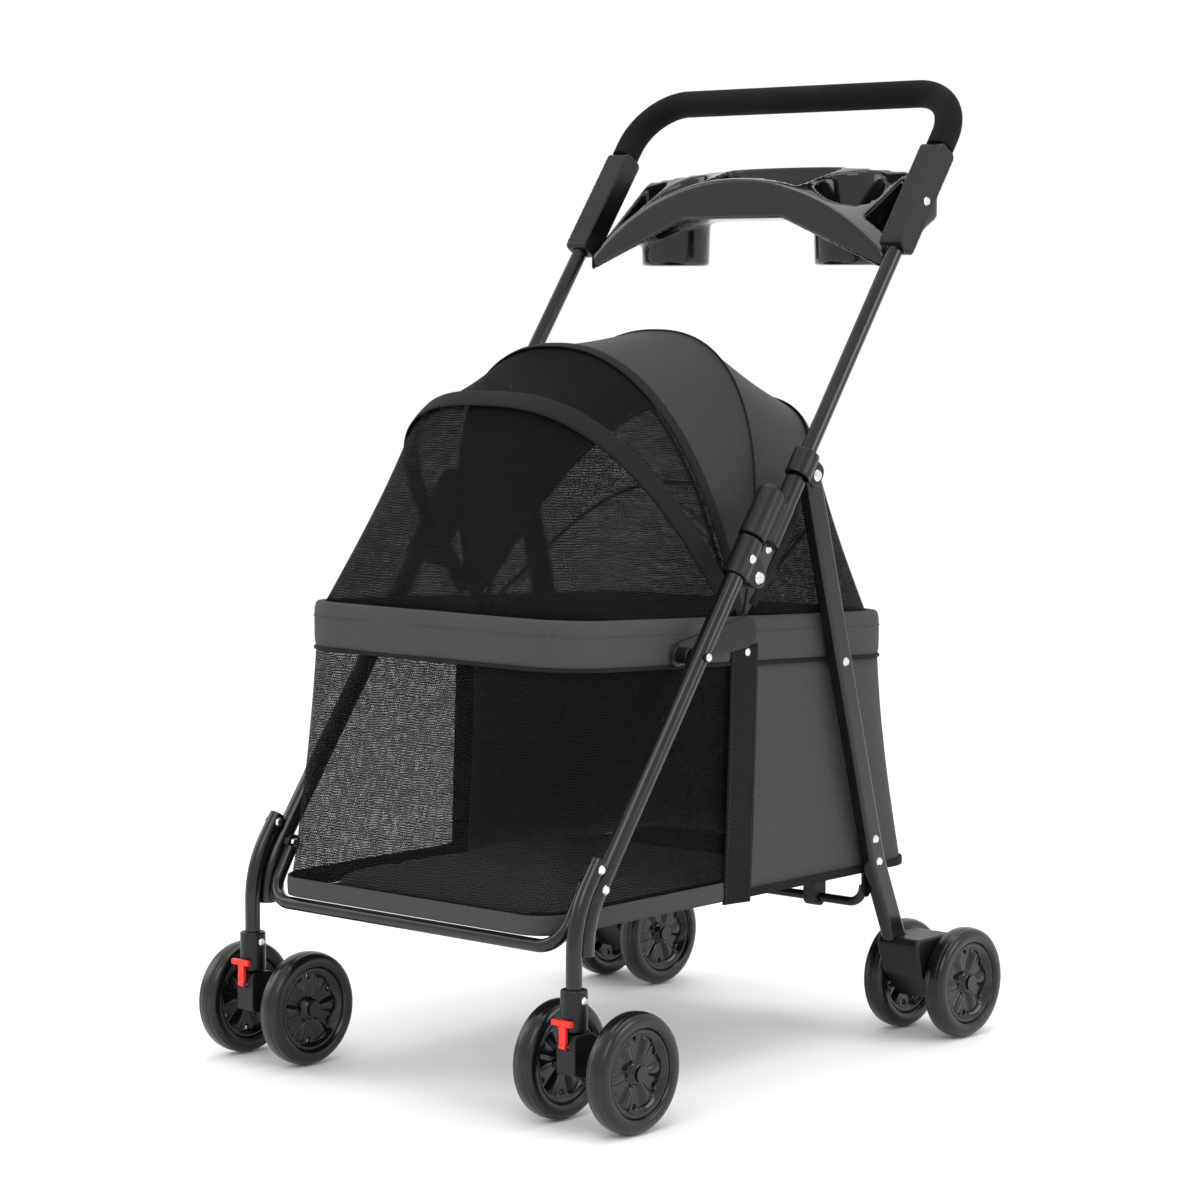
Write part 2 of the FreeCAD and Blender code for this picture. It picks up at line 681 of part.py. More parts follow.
def front_leg():
    x = size.leg_across
    foot_back = size.caster_stem_back - LOWER_OUT_FLAT
    corner = on_leg(x, 0, back_along(0, foot_back))
    foot = Vector(x, foot_back, size.leg_foot_height)
    points = [on_leg(x, 0, size.leg_top), corner, foot]
    bend = min(size.leg_bend, (corner.z - foot.z) / math.tan(LEAN / 2))
    leg = tube(points, [bend], size.leg_radius, size.tube_wall)
    plug = along_leg(0, x, size.leg_radius - size.tube_wall, size.leg_top - RIVET_INSET, size.leg_top)
    nub = along_leg(0, x, size.nub_radius, size.leg_top, size.leg_top + size.nub_length)
    leg = leg.multiFuse([plug, nub]).removeSplitter()
    reach = 20
    for pair, radius in ((COLLAR_RIVET, size.rivet_radius), (RIM_PIVOT, PIN_BORE),
                         (BAR_RIVET, size.rivet_radius)):
        leg = leg.cut(across(pair, radius, x - reach, x + reach))
    return leg


def lower_tube():
    """The bent tube in front of the leg, which carries the caster socket."""
    x = size.front_caster_across
    top = on_leg(x, LOWER_OUT_FLAT, height_along(LOWER_OUT_FLAT, size.lower_tube_top))
    corner = on_leg(x, LOWER_OUT_FLAT, back_along(LOWER_OUT_FLAT, size.caster_stem_back))
    foot = Vector(x, size.caster_stem_back, size.lower_tube_seat)
    bend = size.leg_bend - LOWER_OUT_FLAT
    shape = tube([top, corner, foot], [bend], size.lower_tube_radius, size.tube_wall)
    for pair in (JOIN_RIVET, (size.caster_stem_back, socket_rivet_height())):
        shape = shape.cut(rivet_hole(pair, x - PIN_REACH, x + PIN_REACH))
    return shape


def leg_bracket():
    """A collar on the leg end with two cheeks that hold the handle hinge."""
    x = size.leg_across
    collar = along_leg(0, x, size.collar_radius, size.collar_start, size.leg_top)
    low = flat(on_leg(0, 2, size.collar_start + RIVET_INSET))
    high = flat(on_leg(0, 2, size.leg_top - RIVET_INSET))
    cheeks = []
    for sign in (-1, 1):
        near = x + sign * size.fork_gap
        far = near + sign * size.fork_wall
        for root in (low, high):
            cheeks.append(side_link(HINGE, size.fork_end, root, size.fork_end,
                                    min(near, far), max(near, far)))
    shape = collar.multiFuse(cheeks).removeSplitter()
    shape = shape.cut(along_leg(0, x, size.leg_radius + PRESS_GAP, 0, size.leg_top + CUT_MARGIN))
    shape = shape.cut(rivet_hole(COLLAR_RIVET, x - PIN_REACH, x + PIN_REACH))
    return shape.cut(across(HINGE, size.hinge_pin_radius, x - PIN_REACH, x + PIN_REACH))


def floor_front_bar():
    """The bar that joins the legs under the cabin; its ends are flattened and riveted."""
    x = size.front_bar_across
    eye = side_point(x, BAR_RIVET)
    corner = Vector(x, size.front_bar_back, size.front_bar_height)
    other = Vector(-x, size.front_bar_back, size.front_bar_height)
    far = side_point(-x, BAR_RIVET)
    drop = corner - eye
    start = eye + drop.normalize() * 6
    finish = far + (other - far).normalize() * 6
    bend = size.front_bar_bend
    bar = rod([start, corner, other, finish], [bend, bend], size.front_bar_radius)
    thick = size.crossbar_lug
    pads = []
    for sign in (-1, 1):
        low = sign * x - thick / 2
        pads.append(side_link(BAR_RIVET, 8, (start.y - 4, start.z - 8), 6.4, low, low + thick))
    bar = bar.multiFuse(pads).removeSplitter()
    for sign in (-1, 1):
        bar = bar.cut(rivet_hole(BAR_RIVET, sign * x - 9, sign * x + 9))
    return bar


def front_rivets():
    """Rivets of the front frame, one set per side."""
    x = size.leg_across
    collar = size.collar_radius
    tube_half = size.leg_radius
    caster = size.front_caster_across
    lower = size.lower_tube_radius
    lug_face = size.front_bar_across + size.crossbar_lug / 2
    lug_inner = size.front_bar_across - size.crossbar_lug / 2
    items = [
        rivet(COLLAR_RIVET, x - collar, x + collar),
        rivet(BAR_RIVET, lug_inner, x + tube_half),
        rivet(JOIN_RIVET, caster - lower, caster + lower),
        rivet((size.caster_stem_back, socket_rivet_height()), caster - size.socket_radius,
              caster + size.socket_radius, size.rivet_head - 0.8),
    ]
    spacer = across(BAR_RIVET, size.rivet_radius + 1.6, lug_face, x - tube_half)
    items[1] = items[1].fuse(spacer).removeSplitter()
    return Part.makeCompound(items + [mirrored(item) for item in items])


def hinge_pin():
    x = size.leg_across
    outer = size.fork_gap + size.fork_wall
    pin = across(HINGE, size.hinge_pin_radius, x - outer, x + outer)
    heads = []
    for sign in (-1, 1):
        face = x + sign * outer
        heads.append(Part.makeCone(6.5, 5, 2, side_point(face, HINGE), Vector(sign, 0, 0)))
    return pin.multiFuse(heads).removeSplitter()


def front_frame():
    for side, sign in SIDES:
        feature("front_leg_" + side, on_side(front_leg(), sign))
    feature("lower_tubes", both_sides(lower_tube()))
    feature("leg_brackets", both_sides(leg_bracket()))
    feature("floor_front_bar", floor_front_bar())
    feature("front_rivets", front_rivets())
    feature("hinge_pins", both_sides(hinge_pin()))


# ---------------------------------------------------------------- handle

BLADE_RIVET = flat(on_leg(0, size.handle_offset, size.handle_start - 7))
PLATE_INNER = size.rear_leg_across + size.rear_leg_thick / 2 + size.plate_gap
PLATE_OUTER = PLATE_INNER + size.plate_thick
PLATE_RIVET = flat(on_leg(0, size.handle_offset + size.saddle_radius - 0.5,
                          size.rear_pivot_along + 2))


def handle_path(start):
    """Corners of the handle from one side to the other."""
    x = size.leg_across
    out = size.handle_offset
    return [on_leg(x, out, start), on_leg(x, out, size.handle_top),
            on_leg(-x, out, size.handle_top), on_leg(-x, out, start)]


def handle_tube():
    bend = size.handle_bend
    return tube(handle_path(size.handle_start), [bend, bend], size.handle_radius, size.tube_wall)


def handle_grip():
    bend = size.handle_bend
    points = handle_path(size.grip_start)
    outer = rod(points, [bend, bend], size.grip_radius)
    return outer.cut(rod(points, [bend, bend], size.handle_radius + 0.01))


def handle_end():
    """The blade at the foot of the handle, with its plug in the tube."""
    x = size.leg_across
    out = size.handle_offset
    half = size.blade_half
    head = flat(on_leg(0, out, size.handle_start - 6))
    blade = side_link(HINGE, size.blade_end, head, size.handle_radius, x - half, x + half)
    keep = along_leg(out, x, 60, size.hinge_along - 30, size.handle_start)
    blade = blade.common(keep)
    neck = along_leg(out, x, size.handle_radius, size.handle_start - 3, size.handle_start)
    plug = along_leg(out, x, size.handle_radius - size.tube_wall, size.handle_start,
                     size.handle_start + size.plug_length)
    shape = blade.multiFuse([neck, plug]).removeSplitter()
    shape = shape.cut(across(HINGE, PIN_BORE, x - PIN_REACH, x + PIN_REACH))
    return shape.cut(rivet_hole(BLADE_RIVET, x - PIN_REACH, x + PIN_REACH))


def saddle():
    """The saddle clamped on the handle tube, with the plate that carries the rear leg."""
    x = size.leg_across
    out = size.handle_offset
    start = size.saddle_start
    end = start + size.saddle_length
    body = along_leg(out, x, size.saddle_radius, start, end)
    edge = out + size.saddle_bore - 1.5
    tip = size.rear_pivot_out
    low = size.rear_pivot_along - size.plate_half
    high = size.rear_pivot_along + size.plate_half
    corners = [on_leg(0, edge, low), on_leg(0, edge, high), on_leg(0, tip + 9, high),
               on_leg(0, tip + 9, low)]
    plate = side_polygon([flat(corner) for corner in corners], [3, 3, 9, 9],
                         PLATE_INNER, PLATE_OUTER)
    shape = body.fuse(plate).removeSplitter()
    shape = shape.cut(along_leg(out, x, size.handle_radius + PRESS_GAP, start - 5, end + 20))
    shape = shape.cut(along_leg(out, x, size.saddle_bore, start - 5, end - size.saddle_shelf))
    shape = shape.cut(across(REAR_PIVOT, size.hinge_pin_radius, x - PIN_REACH, x + PIN_REACH))
    return shape.cut(rivet_hole(PLATE_RIVET, PLATE_INNER, x - 2))


def handle_rivets():
    """Blade rivets, plate rivets and the pivots that carry the rear legs."""
    x = size.leg_across
    rise = size.rivet_rise
    inner = size.rear_leg_across - size.rear_leg_thick / 2 - size.side_clearance
    pivot = across(REAR_PIVOT, size.hinge_pin_radius, inner, PLATE_OUTER)
    for face, sign in ((inner, -1), (PLATE_OUTER, 1)):
        pivot = pivot.fuse(Part.makeCone(6, 4.6, rise, side_point(face, REAR_PIVOT),
                                         Vector(sign, 0, 0)))
    items = [
        rivet(BLADE_RIVET, x - size.blade_half, x + size.blade_half, 4.0),
        pivot.removeSplitter(),
    ]
    return Part.makeCompound(items + [mirrored(item) for item in items])


def lock_slider():
    """The sprung sleeve that rides on the handle tube and locks over the leg end."""
    x = size.leg_across
    out = size.handle_offset
    sleeve = along_leg(0, x, size.sleeve_radius, size.sleeve_start, size.sleeve_top)
    dome_foot = on_leg(x, 0, size.sleeve_top)
    heading = on_leg(x, 0, size.sleeve_top + 1) - dome_foot
    dome = Part.makeCone(size.sleeve_radius, size.sleeve_radius * 0.55, size.sleeve_dome,
                         dome_foot, heading)
    barrel = along_leg(out, x, size.barrel_radius, size.barrel_start, size.sleeve_top)
    neck = along_leg(out, x, size.neck_radius, size.sleeve_top, size.neck_top)
    web_low = size.barrel_start
    corners = [on_leg(0, 0, web_low), on_leg(0, 0, size.sleeve_top),
               on_leg(0, out, size.sleeve_top), on_leg(0, out, web_low)]
    web = side_polygon([flat(corner) for corner in corners], [0] * 4, x - 8, x + 8)
    shape = sleeve.multiFuse([dome, barrel, neck, web]).removeSplitter()
    bore = size.handle_radius + size.spin_clearance
    shape = shape.cut(along_leg(out, x, bore, size.barrel_start - 10, size.neck_top + 5))
    cup = Part.makeCone(size.nub_cup_radius, size.nub_radius, size.nub_cup_depth,
                        on_leg(x, 0, size.sleeve_start), heading)
    return shape.cut(cup)


# ---------------------------------------------------------------- parent tray


def tray_section(back, middle, end, end_floor):
    """The tray seen from the front at one place: arched top, stepped underside."""
    half = size.tray_half
    level = size.tray_floor_half
    top = Part.Arc(Vector(-half, back, end), Vector(0, back, middle), Vector(half, back, end))
    low = [(half, end), (half, end_floor), (level, size.tray_floor),
           (-level, size.tray_floor), (-half, end_floor), (-half, end)]
    edges = [top.toShape()]
    for first, second in zip(low, low[1:]):
        line = Part.LineSegment(Vector(first[0], back, first[1]), Vector(second[0], back, second[1]))
        edges.append(line.toShape())
    return Part.Wire(edges)


def cup(sign, inset, bottom):
    """A tapered cup; inset is how far its surface lies inside the outer one."""
    top = size.tray_back_mid + CUT_MARGIN
    mouth = size.cup_radius - inset
    grow = size.cup_taper / (size.tray_back_mid - size.cup_bottom)
    foot = mouth - grow * (size.tray_back_mid - bottom)
    rim = mouth + grow * (top - size.tray_back_mid)
    centre = Vector(sign * size.cup_across, size.cup_back, bottom)
    return Part.makeCone(foot, rim, top - bottom, centre)


def tray_block(end_floor_front, end_floor_rear):
    """Everything between the tray's arched top and an underside."""
    front = tray_section(size.tray_front, size.tray_mid_top, size.tray_end_top, end_floor_front)
    rear = tray_section(size.tray_back, size.tray_back_mid, size.tray_back_end, end_floor_rear)
    return Part.makeLoft([front, rear], True, True)


def pocket_floor(back):
    """Height of a side pocket's floor, which rises with the underside."""
    inner = size.cup_across + size.cup_radius + size.tray_wall
    slope = (size.tray_floor - size.tray_end_floor) / (size.tray_half - size.tray_floor_half)
    front_height = size.tray_floor - slope * (inner - size.tray_floor_half)
    share = (back - size.tray_front) / (size.tray_back - size.tray_front)
    return front_height + (size.tray_floor - front_height) * share + size.tray_wall


def tray_pocket(sign):
    """The space of one side pocket."""
    inner = size.cup_across + size.cup_radius + size.tray_wall
    width = size.tray_half - inner - size.tray_end_rim
    start = inner if sign > 0 else -inner - width
    front = size.tray_front + size.tray_pocket_front
    rear = size.tray_back - size.tray_pocket_rear
    top = size.tray_back_mid + CUT_MARGIN
    outline = [Vector(start, front, pocket_floor(front)), Vector(start, rear, pocket_floor(rear)),
               Vector(start, rear, top), Vector(start, front, top)]
    face = Part.Face(Part.makePolygon(outline + outline[:1]))
    return face.extrude(Vector(width, 0, 0))


def tray():
    """The parent tray: a console with two cup holders and a shallow middle bin."""
    wall = size.tray_wall
    shape = tray_block(size.tray_end_floor, size.tray_floor)
    under = Part.makeBox(2 * size.tray_half, size.tray_back - size.tray_front,
                         size.tray_floor - size.cup_bottom,
                         Vector(-size.tray_half, size.tray_front, size.cup_bottom))
    column = tray_block(size.tray_end_floor, size.tray_end_floor).fuse(under)
    keep_out = []
    for sign in (-1, 1):
        shape = shape.fuse(cup(sign, 0, size.cup_bottom).common(column))
        keep_out.append(cup(sign, wall, size.cup_bottom + wall))
        keep_out.append(tray_pocket(sign))
    bin_half = size.cup_across - size.cup_radius - wall
    bin_front = size.tray_front + wall + size.tray_bin_front
    bin_rear = size.tray_back - wall - size.tray_bin_rear
    keep_out.append(Part.makeBox(2 * bin_half, bin_rear - bin_front,
                                 size.tray_back_mid + CUT_MARGIN - size.tray_floor,
                                 Vector(-bin_half, bin_front, size.tray_floor + wall)))
    for piece in keep_out:
        shape = shape.cut(piece)
    return shape.removeSplitter()


CLAMP_END = size.grip_start - size.clamp_gap


def tray_clamp():
    """The long clamp that holds one end of the tray on the handle tube."""
    x = size.leg_across
    out = size.handle_offset
    half = size.clamp_half
    inner = size.tray_half + 0.1
    corners = [on_leg(0, out - half, size.clamp_start), on_leg(0, out - half, CLAMP_END),
               on_leg(0, out + half, CLAMP_END), on_leg(0, out + half, size.clamp_start)]
    block = side_polygon([flat(corner) for corner in corners], [6, 6, 6, 6], inner, x + half)
    block = block.cut(along_leg(out, x, size.handle_radius + PRESS_GAP, size.clamp_start - 10,
                                CLAMP_END + 10))
    spot = flat(on_leg(0, out, size.clamp_screw_along))
    return block.cut(across(spot, 2.0, x + size.handle_radius + 1.5, x + half + 5))


def tray_screw():
    x = size.leg_across
    spot = flat(on_leg(0, size.handle_offset, size.clamp_screw_along))
    shank = across(spot, 2.0, x + size.handle_radius + 1.6, x + size.clamp_half)
    head = Part.makeCone(4.6, 3.6, 1.8, side_point(x + size.clamp_half, spot), Vector(1, 0, 0))
    return shank.fuse(head).removeSplitter()


def handle():
    feature("handle_tube", handle_tube())
    feature("handle_grip", handle_grip())
    feature("handle_ends", both_sides(handle_end()))
    feature("saddles", both_sides(saddle()))
    feature("handle_rivets", handle_rivets())
    feature("tray", tray())
    feature("tray_clamps", both_sides(tray_clamp()))
    feature("tray_screws", both_sides(tray_screw()))
    for side, sign in SIDES:
        feature("lock_slider_" + side, on_side(lock_slider(), sign))


# ---------------------------------------------------------------- rear frame


def rear_leg_corners():
    return [REAR_PIVOT, (size.rear_bend_back, size.rear_bend_height),
            (size.rear_foot_back, size.rear_foot_height)]


def rear_leg_edges(extra=0.0):
    """Side view of the rear leg: an even band around its bent centre line."""
    top, bend, foot = [Vector(back, height, 0) for back, height in rear_leg_corners()]
    half = size.rear_leg_depth / 2 + extra
    upper = (bend - top).normalize()
    lower = (foot - bend).normalize()
    upper_side = Vector(-upper.y, upper.x, 0)
    lower_side = Vector(-lower.y, lower.x, 0)
    miter = (upper_side + lower_side).normalize()
    miter = miter * (half / (miter * upper_side))
    turn = size.rear_leg_bend
    head = top - upper * half
    foot = foot + lower * extra
    corners = [head + upper_side * half, bend + miter, foot + lower_side * half,
               foot - lower_side * half, bend - miter, head - upper_side * half]
    return rounded(corners, [half - 0.01, turn + half, 2, 2, turn - half, half - 0.01])


def rear_leg(extra=0.0):
    x = size.rear_leg_across
    half = size.rear_leg_thick / 2 + extra
    return side_slab(rear_leg_edges(extra), x - half, x + half)


def along_rear_leg(from_pivot):
    """A point on the straight upper part of the rear leg."""
    top, bend = rear_leg_corners()[:2]
    run = Vector(bend[0] - top[0], bend[1] - top[1], 0)
    step = run.normalize() * from_pivot
    return (top[0] + step.x, top[1] + step.y)


CROSSBAR_RIVETS = [along_rear_leg(size.crossbar_rivet_high), along_rear_leg(size.crossbar_rivet_low)]


def rear_leg_node(label, sign):
    """One rear leg, padded across the stroller, with round edges and cross holes."""
    x = size.rear_leg_across
    low = x - size.rear_leg_thick / 2
    body = doc.addObject("PartDesign::Body", label + "_blank")
    sketch = sketch_in(body, label + "_outline", "YZ_Plane", rear_leg_edges())
    pad = body.newObject("PartDesign::Pad", label + "_pad")
    pad.Profile = sketch
    pad.setExpression("Length", "sizes.rear_leg_thick")
    body.Tip = pad
    doc.recompute()
    edges = body.newObject("PartDesign::Fillet", label + "_edges")
    edges.Base = (pad, ["Face%d" % number for number in end_faces(pad.Shape)])
    edges.setExpression("Radius", "sizes.rear_leg_edge")
    body.Tip = edges
    start = low if sign > 0 else -low - size.rear_leg_thick
    body.Placement = Placement(Vector(start, 0, 0), Rotation())
    doc.recompute()
    shape = body.Shape.cut(on_side(rear_leg(-size.rear_leg_wall), sign))
    sleeve = across(REAR_PIVOT, PIN_BORE + size.tube_wall, low, low + size.rear_leg_thick)
    shape = shape.fuse(on_side(sleeve, sign)).removeSplitter()
    holes = [across(REAR_PIVOT, PIN_BORE, -ACROSS_ALL, ACROSS_ALL), rivet_hole(LINK, -ACROSS_ALL, ACROSS_ALL)]
    holes += [rivet_hole(pair, -ACROSS_ALL, ACROSS_ALL) for pair in CROSSBAR_RIVETS]
    return feature(label, shape.cut(Part.makeCompound(holes)))


def wheel_bracket():
    """The moulded block between a pair of rear wheels, with the socket of the leg."""
    middle = size.rear_wheels_across
    half = size.rear_twin_gap - size.tyre_width / 2 - size.bracket_gap
    axle_back, axle_height = REAR_AXLE
    hump = size.bracket_hump
    foot_back = size.rear_foot_back
    outline = [(foot_back - 24, size.bracket_top), (axle_back + 4, size.bracket_top),
               (axle_back + hump, axle_height + 26), (axle_back + hump, axle_height - 18),
               (axle_back - hump, axle_height - 18), (foot_back - 12, axle_height + 12)]
    block = side_polygon(outline, [8, 22, 14, 12, 10, 12], middle - half, middle + half)
    block = block.makeFillet(3, long_side_edges(block, middle, half))
    block = block.cut(rear_leg(0.05))
    block = block.cut(across(REAR_AXLE, size.axle_radius, middle - half, middle + half))
    ears = []
    for sign in (-1, 1):
        near = middle + sign * (size.pedal_width / 2 - 6.5)
        far = near + sign * 3
        root = (axle_back + hump - 8, size.pedal_pivot_height - 3)
        ears.append(side_link(PEDAL_PIVOT, 4.5, root, 4.5, min(near, far), max(near, far)))
    block = block.multiFuse(ears).removeSplitter()
    return block.cut(across(PEDAL_PIVOT, 2 + size.spin_clearance, middle - half, middle + half))


def long_side_edges(block, middle, half):
    """Edges of the two end faces of a block."""
    chosen = []
    for edge in block.Edges:
        box = edge.BoundBox
        if box.XLength < 0.01 and abs(abs(box.XMin - middle) - half) < 0.01:
            chosen.append(edge)
    return chosen


PEDAL_PIVOT = (size.pedal_pivot_back + size.pedal_pin_step, size.pedal_pivot_height)


def brake_pedal():
    """A short foot lever behind the wheel bracket, with its own hinge pin."""
    middle = size.rear_wheels_across
    ear_inner = size.pedal_width / 2 - 6.5
    back, height = PEDAL_PIVOT
    barrel = across(PEDAL_PIVOT, 4, middle - ear_inner + 0.2, middle + ear_inner - 0.2)
    pin = across(PEDAL_PIVOT, 2, middle - ear_inner - 2.9, middle + ear_inner + 2.9)
    tip = back + size.pedal_length - 10
    thick = size.pedal_thick
    plate = side_polygon([(back, height), (back, height + 4), (tip, height - 2),
                          (tip, height - 2 - thick)], [0, 0, 2, 2],
                         middle - ear_inner + 0.2, middle + ear_inner - 0.2)
    half = size.pedal_width / 2
    tread = side_polygon([(back + 6, height - 6), (back + 6, height + 4), (tip + 2, height - 1),
                          (tip + 2, height - 7)], [2, 2, 2, 2], middle - half, middle + half)
    return barrel.multiFuse([pin, plate, tread]).removeSplitter()


def rear_crossbar():
    """The bar between the rear legs; its ends are flattened and riveted inside them."""
    inner = size.rear_leg_across - size.rear_leg_thick / 2
    lug = size.crossbar_lug
    x = inner - 0.2 - size.crossbar_radius
    bend = size.crossbar_bend
    rise = CROSSBAR[1] + bend + 1
    points = [Vector(x, CROSSBAR[0], rise), Vector(x, CROSSBAR[0], CROSSBAR[1]),
              Vector(-x, CROSSBAR[0], CROSSBAR[1]), Vector(-x, CROSSBAR[0], rise)]
    bar = rod(points, [bend, bend], size.crossbar_radius)
    plates = []
    for sign in (-1, 1):
        outer = sign * (inner - 0.1)
        low = min(outer, outer - sign * lug)
        for first, second in ((CROSSBAR_RIVETS[0], CROSSBAR_RIVETS[1]),
                              (CROSSBAR_RIVETS[1], (CROSSBAR[0], rise - 6))):
            plates.append(side_link(first, 6, second, 5.9, low, low + lug))
    shape = bar.multiFuse(plates).removeSplitter()
    holes = [rivet_hole(pair, -ACROSS_ALL, ACROSS_ALL) for pair in CROSSBAR_RIVETS]
    return shape.cut(Part.makeCompound(holes))


def rear_rivets():
    """Rivets through the rear legs: the rim link and the two of the crossbar."""
    x = size.rear_leg_across
    half = size.rear_leg_thick / 2
    rise = size.rivet_rise
    items = []
    for pair, inner in ((LINK, x - half), (CROSSBAR_RIVETS[0], x - half - 0.1 - size.crossbar_lug),
                        (CROSSBAR_RIVETS[1], x - half - 0.1 - size.crossbar_lug)):
        shank = across(pair, size.rivet_radius, inner, x + half)
        cap = Part.makeCone(size.rivet_head, 3.2, rise, side_point(x + half, pair), Vector(1, 0, 0))
        items.append(shank.fuse(cap).removeSplitter())
    return Part.makeCompound(items + [mirrored(item) for item in items])


def rear_frame():
    for side, sign in SIDES:
        rear_leg_node("rear_leg_" + side, sign)
        feature("rear_wheel_bracket_" + side, on_side(wheel_bracket(), sign))
        feature("brake_pedal_" + side, on_side(brake_pedal(), sign))
    feature("rear_crossbar", rear_crossbar())
    feature("rear_rivets", rear_rivets())


# ---------------------------------------------------------------- rim, canopy and cabin


def ring_corners(half, front, back, lift, drop=None):
    """Four corners of a level or falling ring, lift above the rim line."""
    def corner(x, place):
        height = rim_height(place) + lift if drop is None else drop
        return Vector(x, place, height)
    return [corner(half, front), corner(half, back), corner(-half, back), corner(-half, front)]


def rim_frame():
    corners = ring_corners(size.rim_across, size.rim_front, size.rim_back, 0)
    radius = size.rim_corner
    middle = (corners[0] + corners[3]) * 0.5
    points = [middle, corners[0], corners[1], corners[2], corners[3], middle]
    path = bent_path(points, [radius] * 4)
    section = Part.Wire(Part.makeCircle(size.rim_radius, middle, Vector(1, 0, 0)))
    return path.makePipeShell([section], True, False)


def superellipse(radius, half, power, x):
    """Reach of a canopy bow at a place across the stroller."""
    return radius * (1 - abs(x / half) ** power) ** (1 / power)


def canopy_point(angle, x, reach):
    turn = math.radians(angle)
    return Vector(x, CANOPY[0] + reach * math.cos(turn), CANOPY[1] + reach * math.sin(turn))


CANOPY_SIDE = 0.985
# the cloth's reach beyond the rear hoop, and what the hood's rear edge loses from its top
HOOD_REAR_LIFT = 6.0
HOOD_EDGE_DROP = 4.0
# angle from straight back, reach, fullness of the bow
BOWS = {
    "hoop_front": (128.0, size.hood_front_reach, 2.8),
    "hoop_second": (105.0, size.hood_front_reach, 2.3),
    "hoop_middle": (74.0, size.hood_reach, 2.3),
    "hoop_rear": (32.0, size.hood_rear_reach, 5.0),
}
HOOP_ACROSS = {label: size.canopy_across * CANOPY_SIDE - size.hoop_side_gap - size.hoop_step * index
               for index, label in enumerate(BOWS)}


def hoop(label):
    """One bow of the canopy: bent wire with a flat eye on the canopy pivot at each end."""
    angle, reach, power = BOWS[label]
    half = HOOP_ACROSS[label]
    reach = reach - size.hoop_inset
    points = [canopy_point(angle, x, out) for x, out in bow_corners(half, reach, power)]
    radii = largest_bends(points)
    wire = rod(points, radii, size.hoop_radius)
    eyes = []
    thick = size.hoop_eye_thick
    for sign in (-1, 1):
        start = sign * half - thick / 2
        direction = canopy_point(angle, 0, 1) - canopy_point(angle, 0, 0)
        tip = (CANOPY[0] + direction.y * 14, CANOPY[1] + direction.z * 14)
        eyes.append(side_link(CANOPY, size.hoop_eye, tip, 3.2, start, start + thick))
    shape = wire.multiFuse(eyes).removeSplitter()
    return shape.cut(across(CANOPY, size.hoop_pin + size.spin_clearance, -ACROSS_ALL, ACROSS_ALL))


def bow_corners(half, reach, power):
    """Corners of a bow: where tangents at a few places on the superellipse meet."""
    turns = [0.0, 0.28, 0.55, 0.8, 1.05, math.pi / 2]
    spots = []
    for turn in turns:
        x = half * math.cos(turn) ** (2 / power)
        out = reach * math.sin(turn) ** (2 / power)
        gradient = (max(x, 1e-9) ** (power - 1) / half ** power,
                    max(out, 1e-9) ** (power - 1) / reach ** power)
        spots.append((x, out, gradient))
    right = []
    for first, second in zip(spots, spots[1:]):
        a1, b1 = first[2]
        a2, b2 = second[2]
        c1 = a1 * first[0] + b1 * first[1]
        c2 = a2 * second[0] + b2 * second[1]
        det = a1 * b2 - a2 * b1
        right.append(((c1 * b2 - c2 * b1) / det, (a1 * c2 - a2 * c1) / det))
    left = [(-x, out) for x, out in reversed(right)]
    foot = 12.0
    return [(half, foot)] + right + left + [(-half, foot)]


def largest_bends(points):
    """The largest tangent arc at each inner corner."""
    radii = []
    for index in range(1, len(points) - 1):
        before = points[index - 1] - points[index]
        after = points[index + 1] - points[index]
        half = before.getAngle(after) / 2
        room = 0.49 * min(before.Length, after.Length)
        radii.append(room * math.tan(half))
    return radii


def rim_pivot():
    """Outer plate of the rim: leg pivot, canopy pivot pin and rear link boss."""
    plate_in = size.cabin_across + 2.3
    plate_out = plate_in + 2.2
    leg_face = size.leg_across - size.leg_radius - 0.5
    plate = side_link(RIM_PIVOT, 12, (CANOPY[0], CANOPY[1] - 6), 16, plate_in, plate_out)
    boss = across(RIM_PIVOT, 8, plate_in, leg_face)
    pin = across(RIM_PIVOT, size.hinge_pin_radius, plate_in, size.leg_across + size.leg_radius + 0.4)
    cap = Part.makeCone(6.2, 4.8, 1.8, side_point(size.leg_across + size.leg_radius + 0.4, RIM_PIVOT),
                        Vector(1, 0, 0))
    inner = min(HOOP_ACROSS.values()) - size.hoop_eye_thick / 2 - 0.3
    hoop_pin = across(CANOPY, size.hoop_pin, inner - 1.5, plate_in)
    keeper = across(CANOPY, 5, inner - 1.5, inner)
    front = plate.multiFuse([boss, pin, cap, hoop_pin, keeper]).removeSplitter()
    spot = (LINK[0], LINK[1] + 16)
    link = side_link(LINK, 9, spot, 12, plate_in, plate_out - 0.6)
    stud = across(spot, size.rivet_radius, size.rim_across + size.rim_radius + 0.1, plate_in)
    rear = link.fuse(stud).removeSplitter()
    return [front, rear]


def rim_pivots():
    pieces = rim_pivot()
    return Part.makeCompound(pieces + [mirrored(piece) for piece in pieces])


def ring_wire(half, front, back, corner, lift, drop=None):
    corners = ring_corners(half, front, back, lift, drop)
    edges = rounded(corners, [corner] * 4)
    return Part.Wire([edge.toShape() for edge in edges])


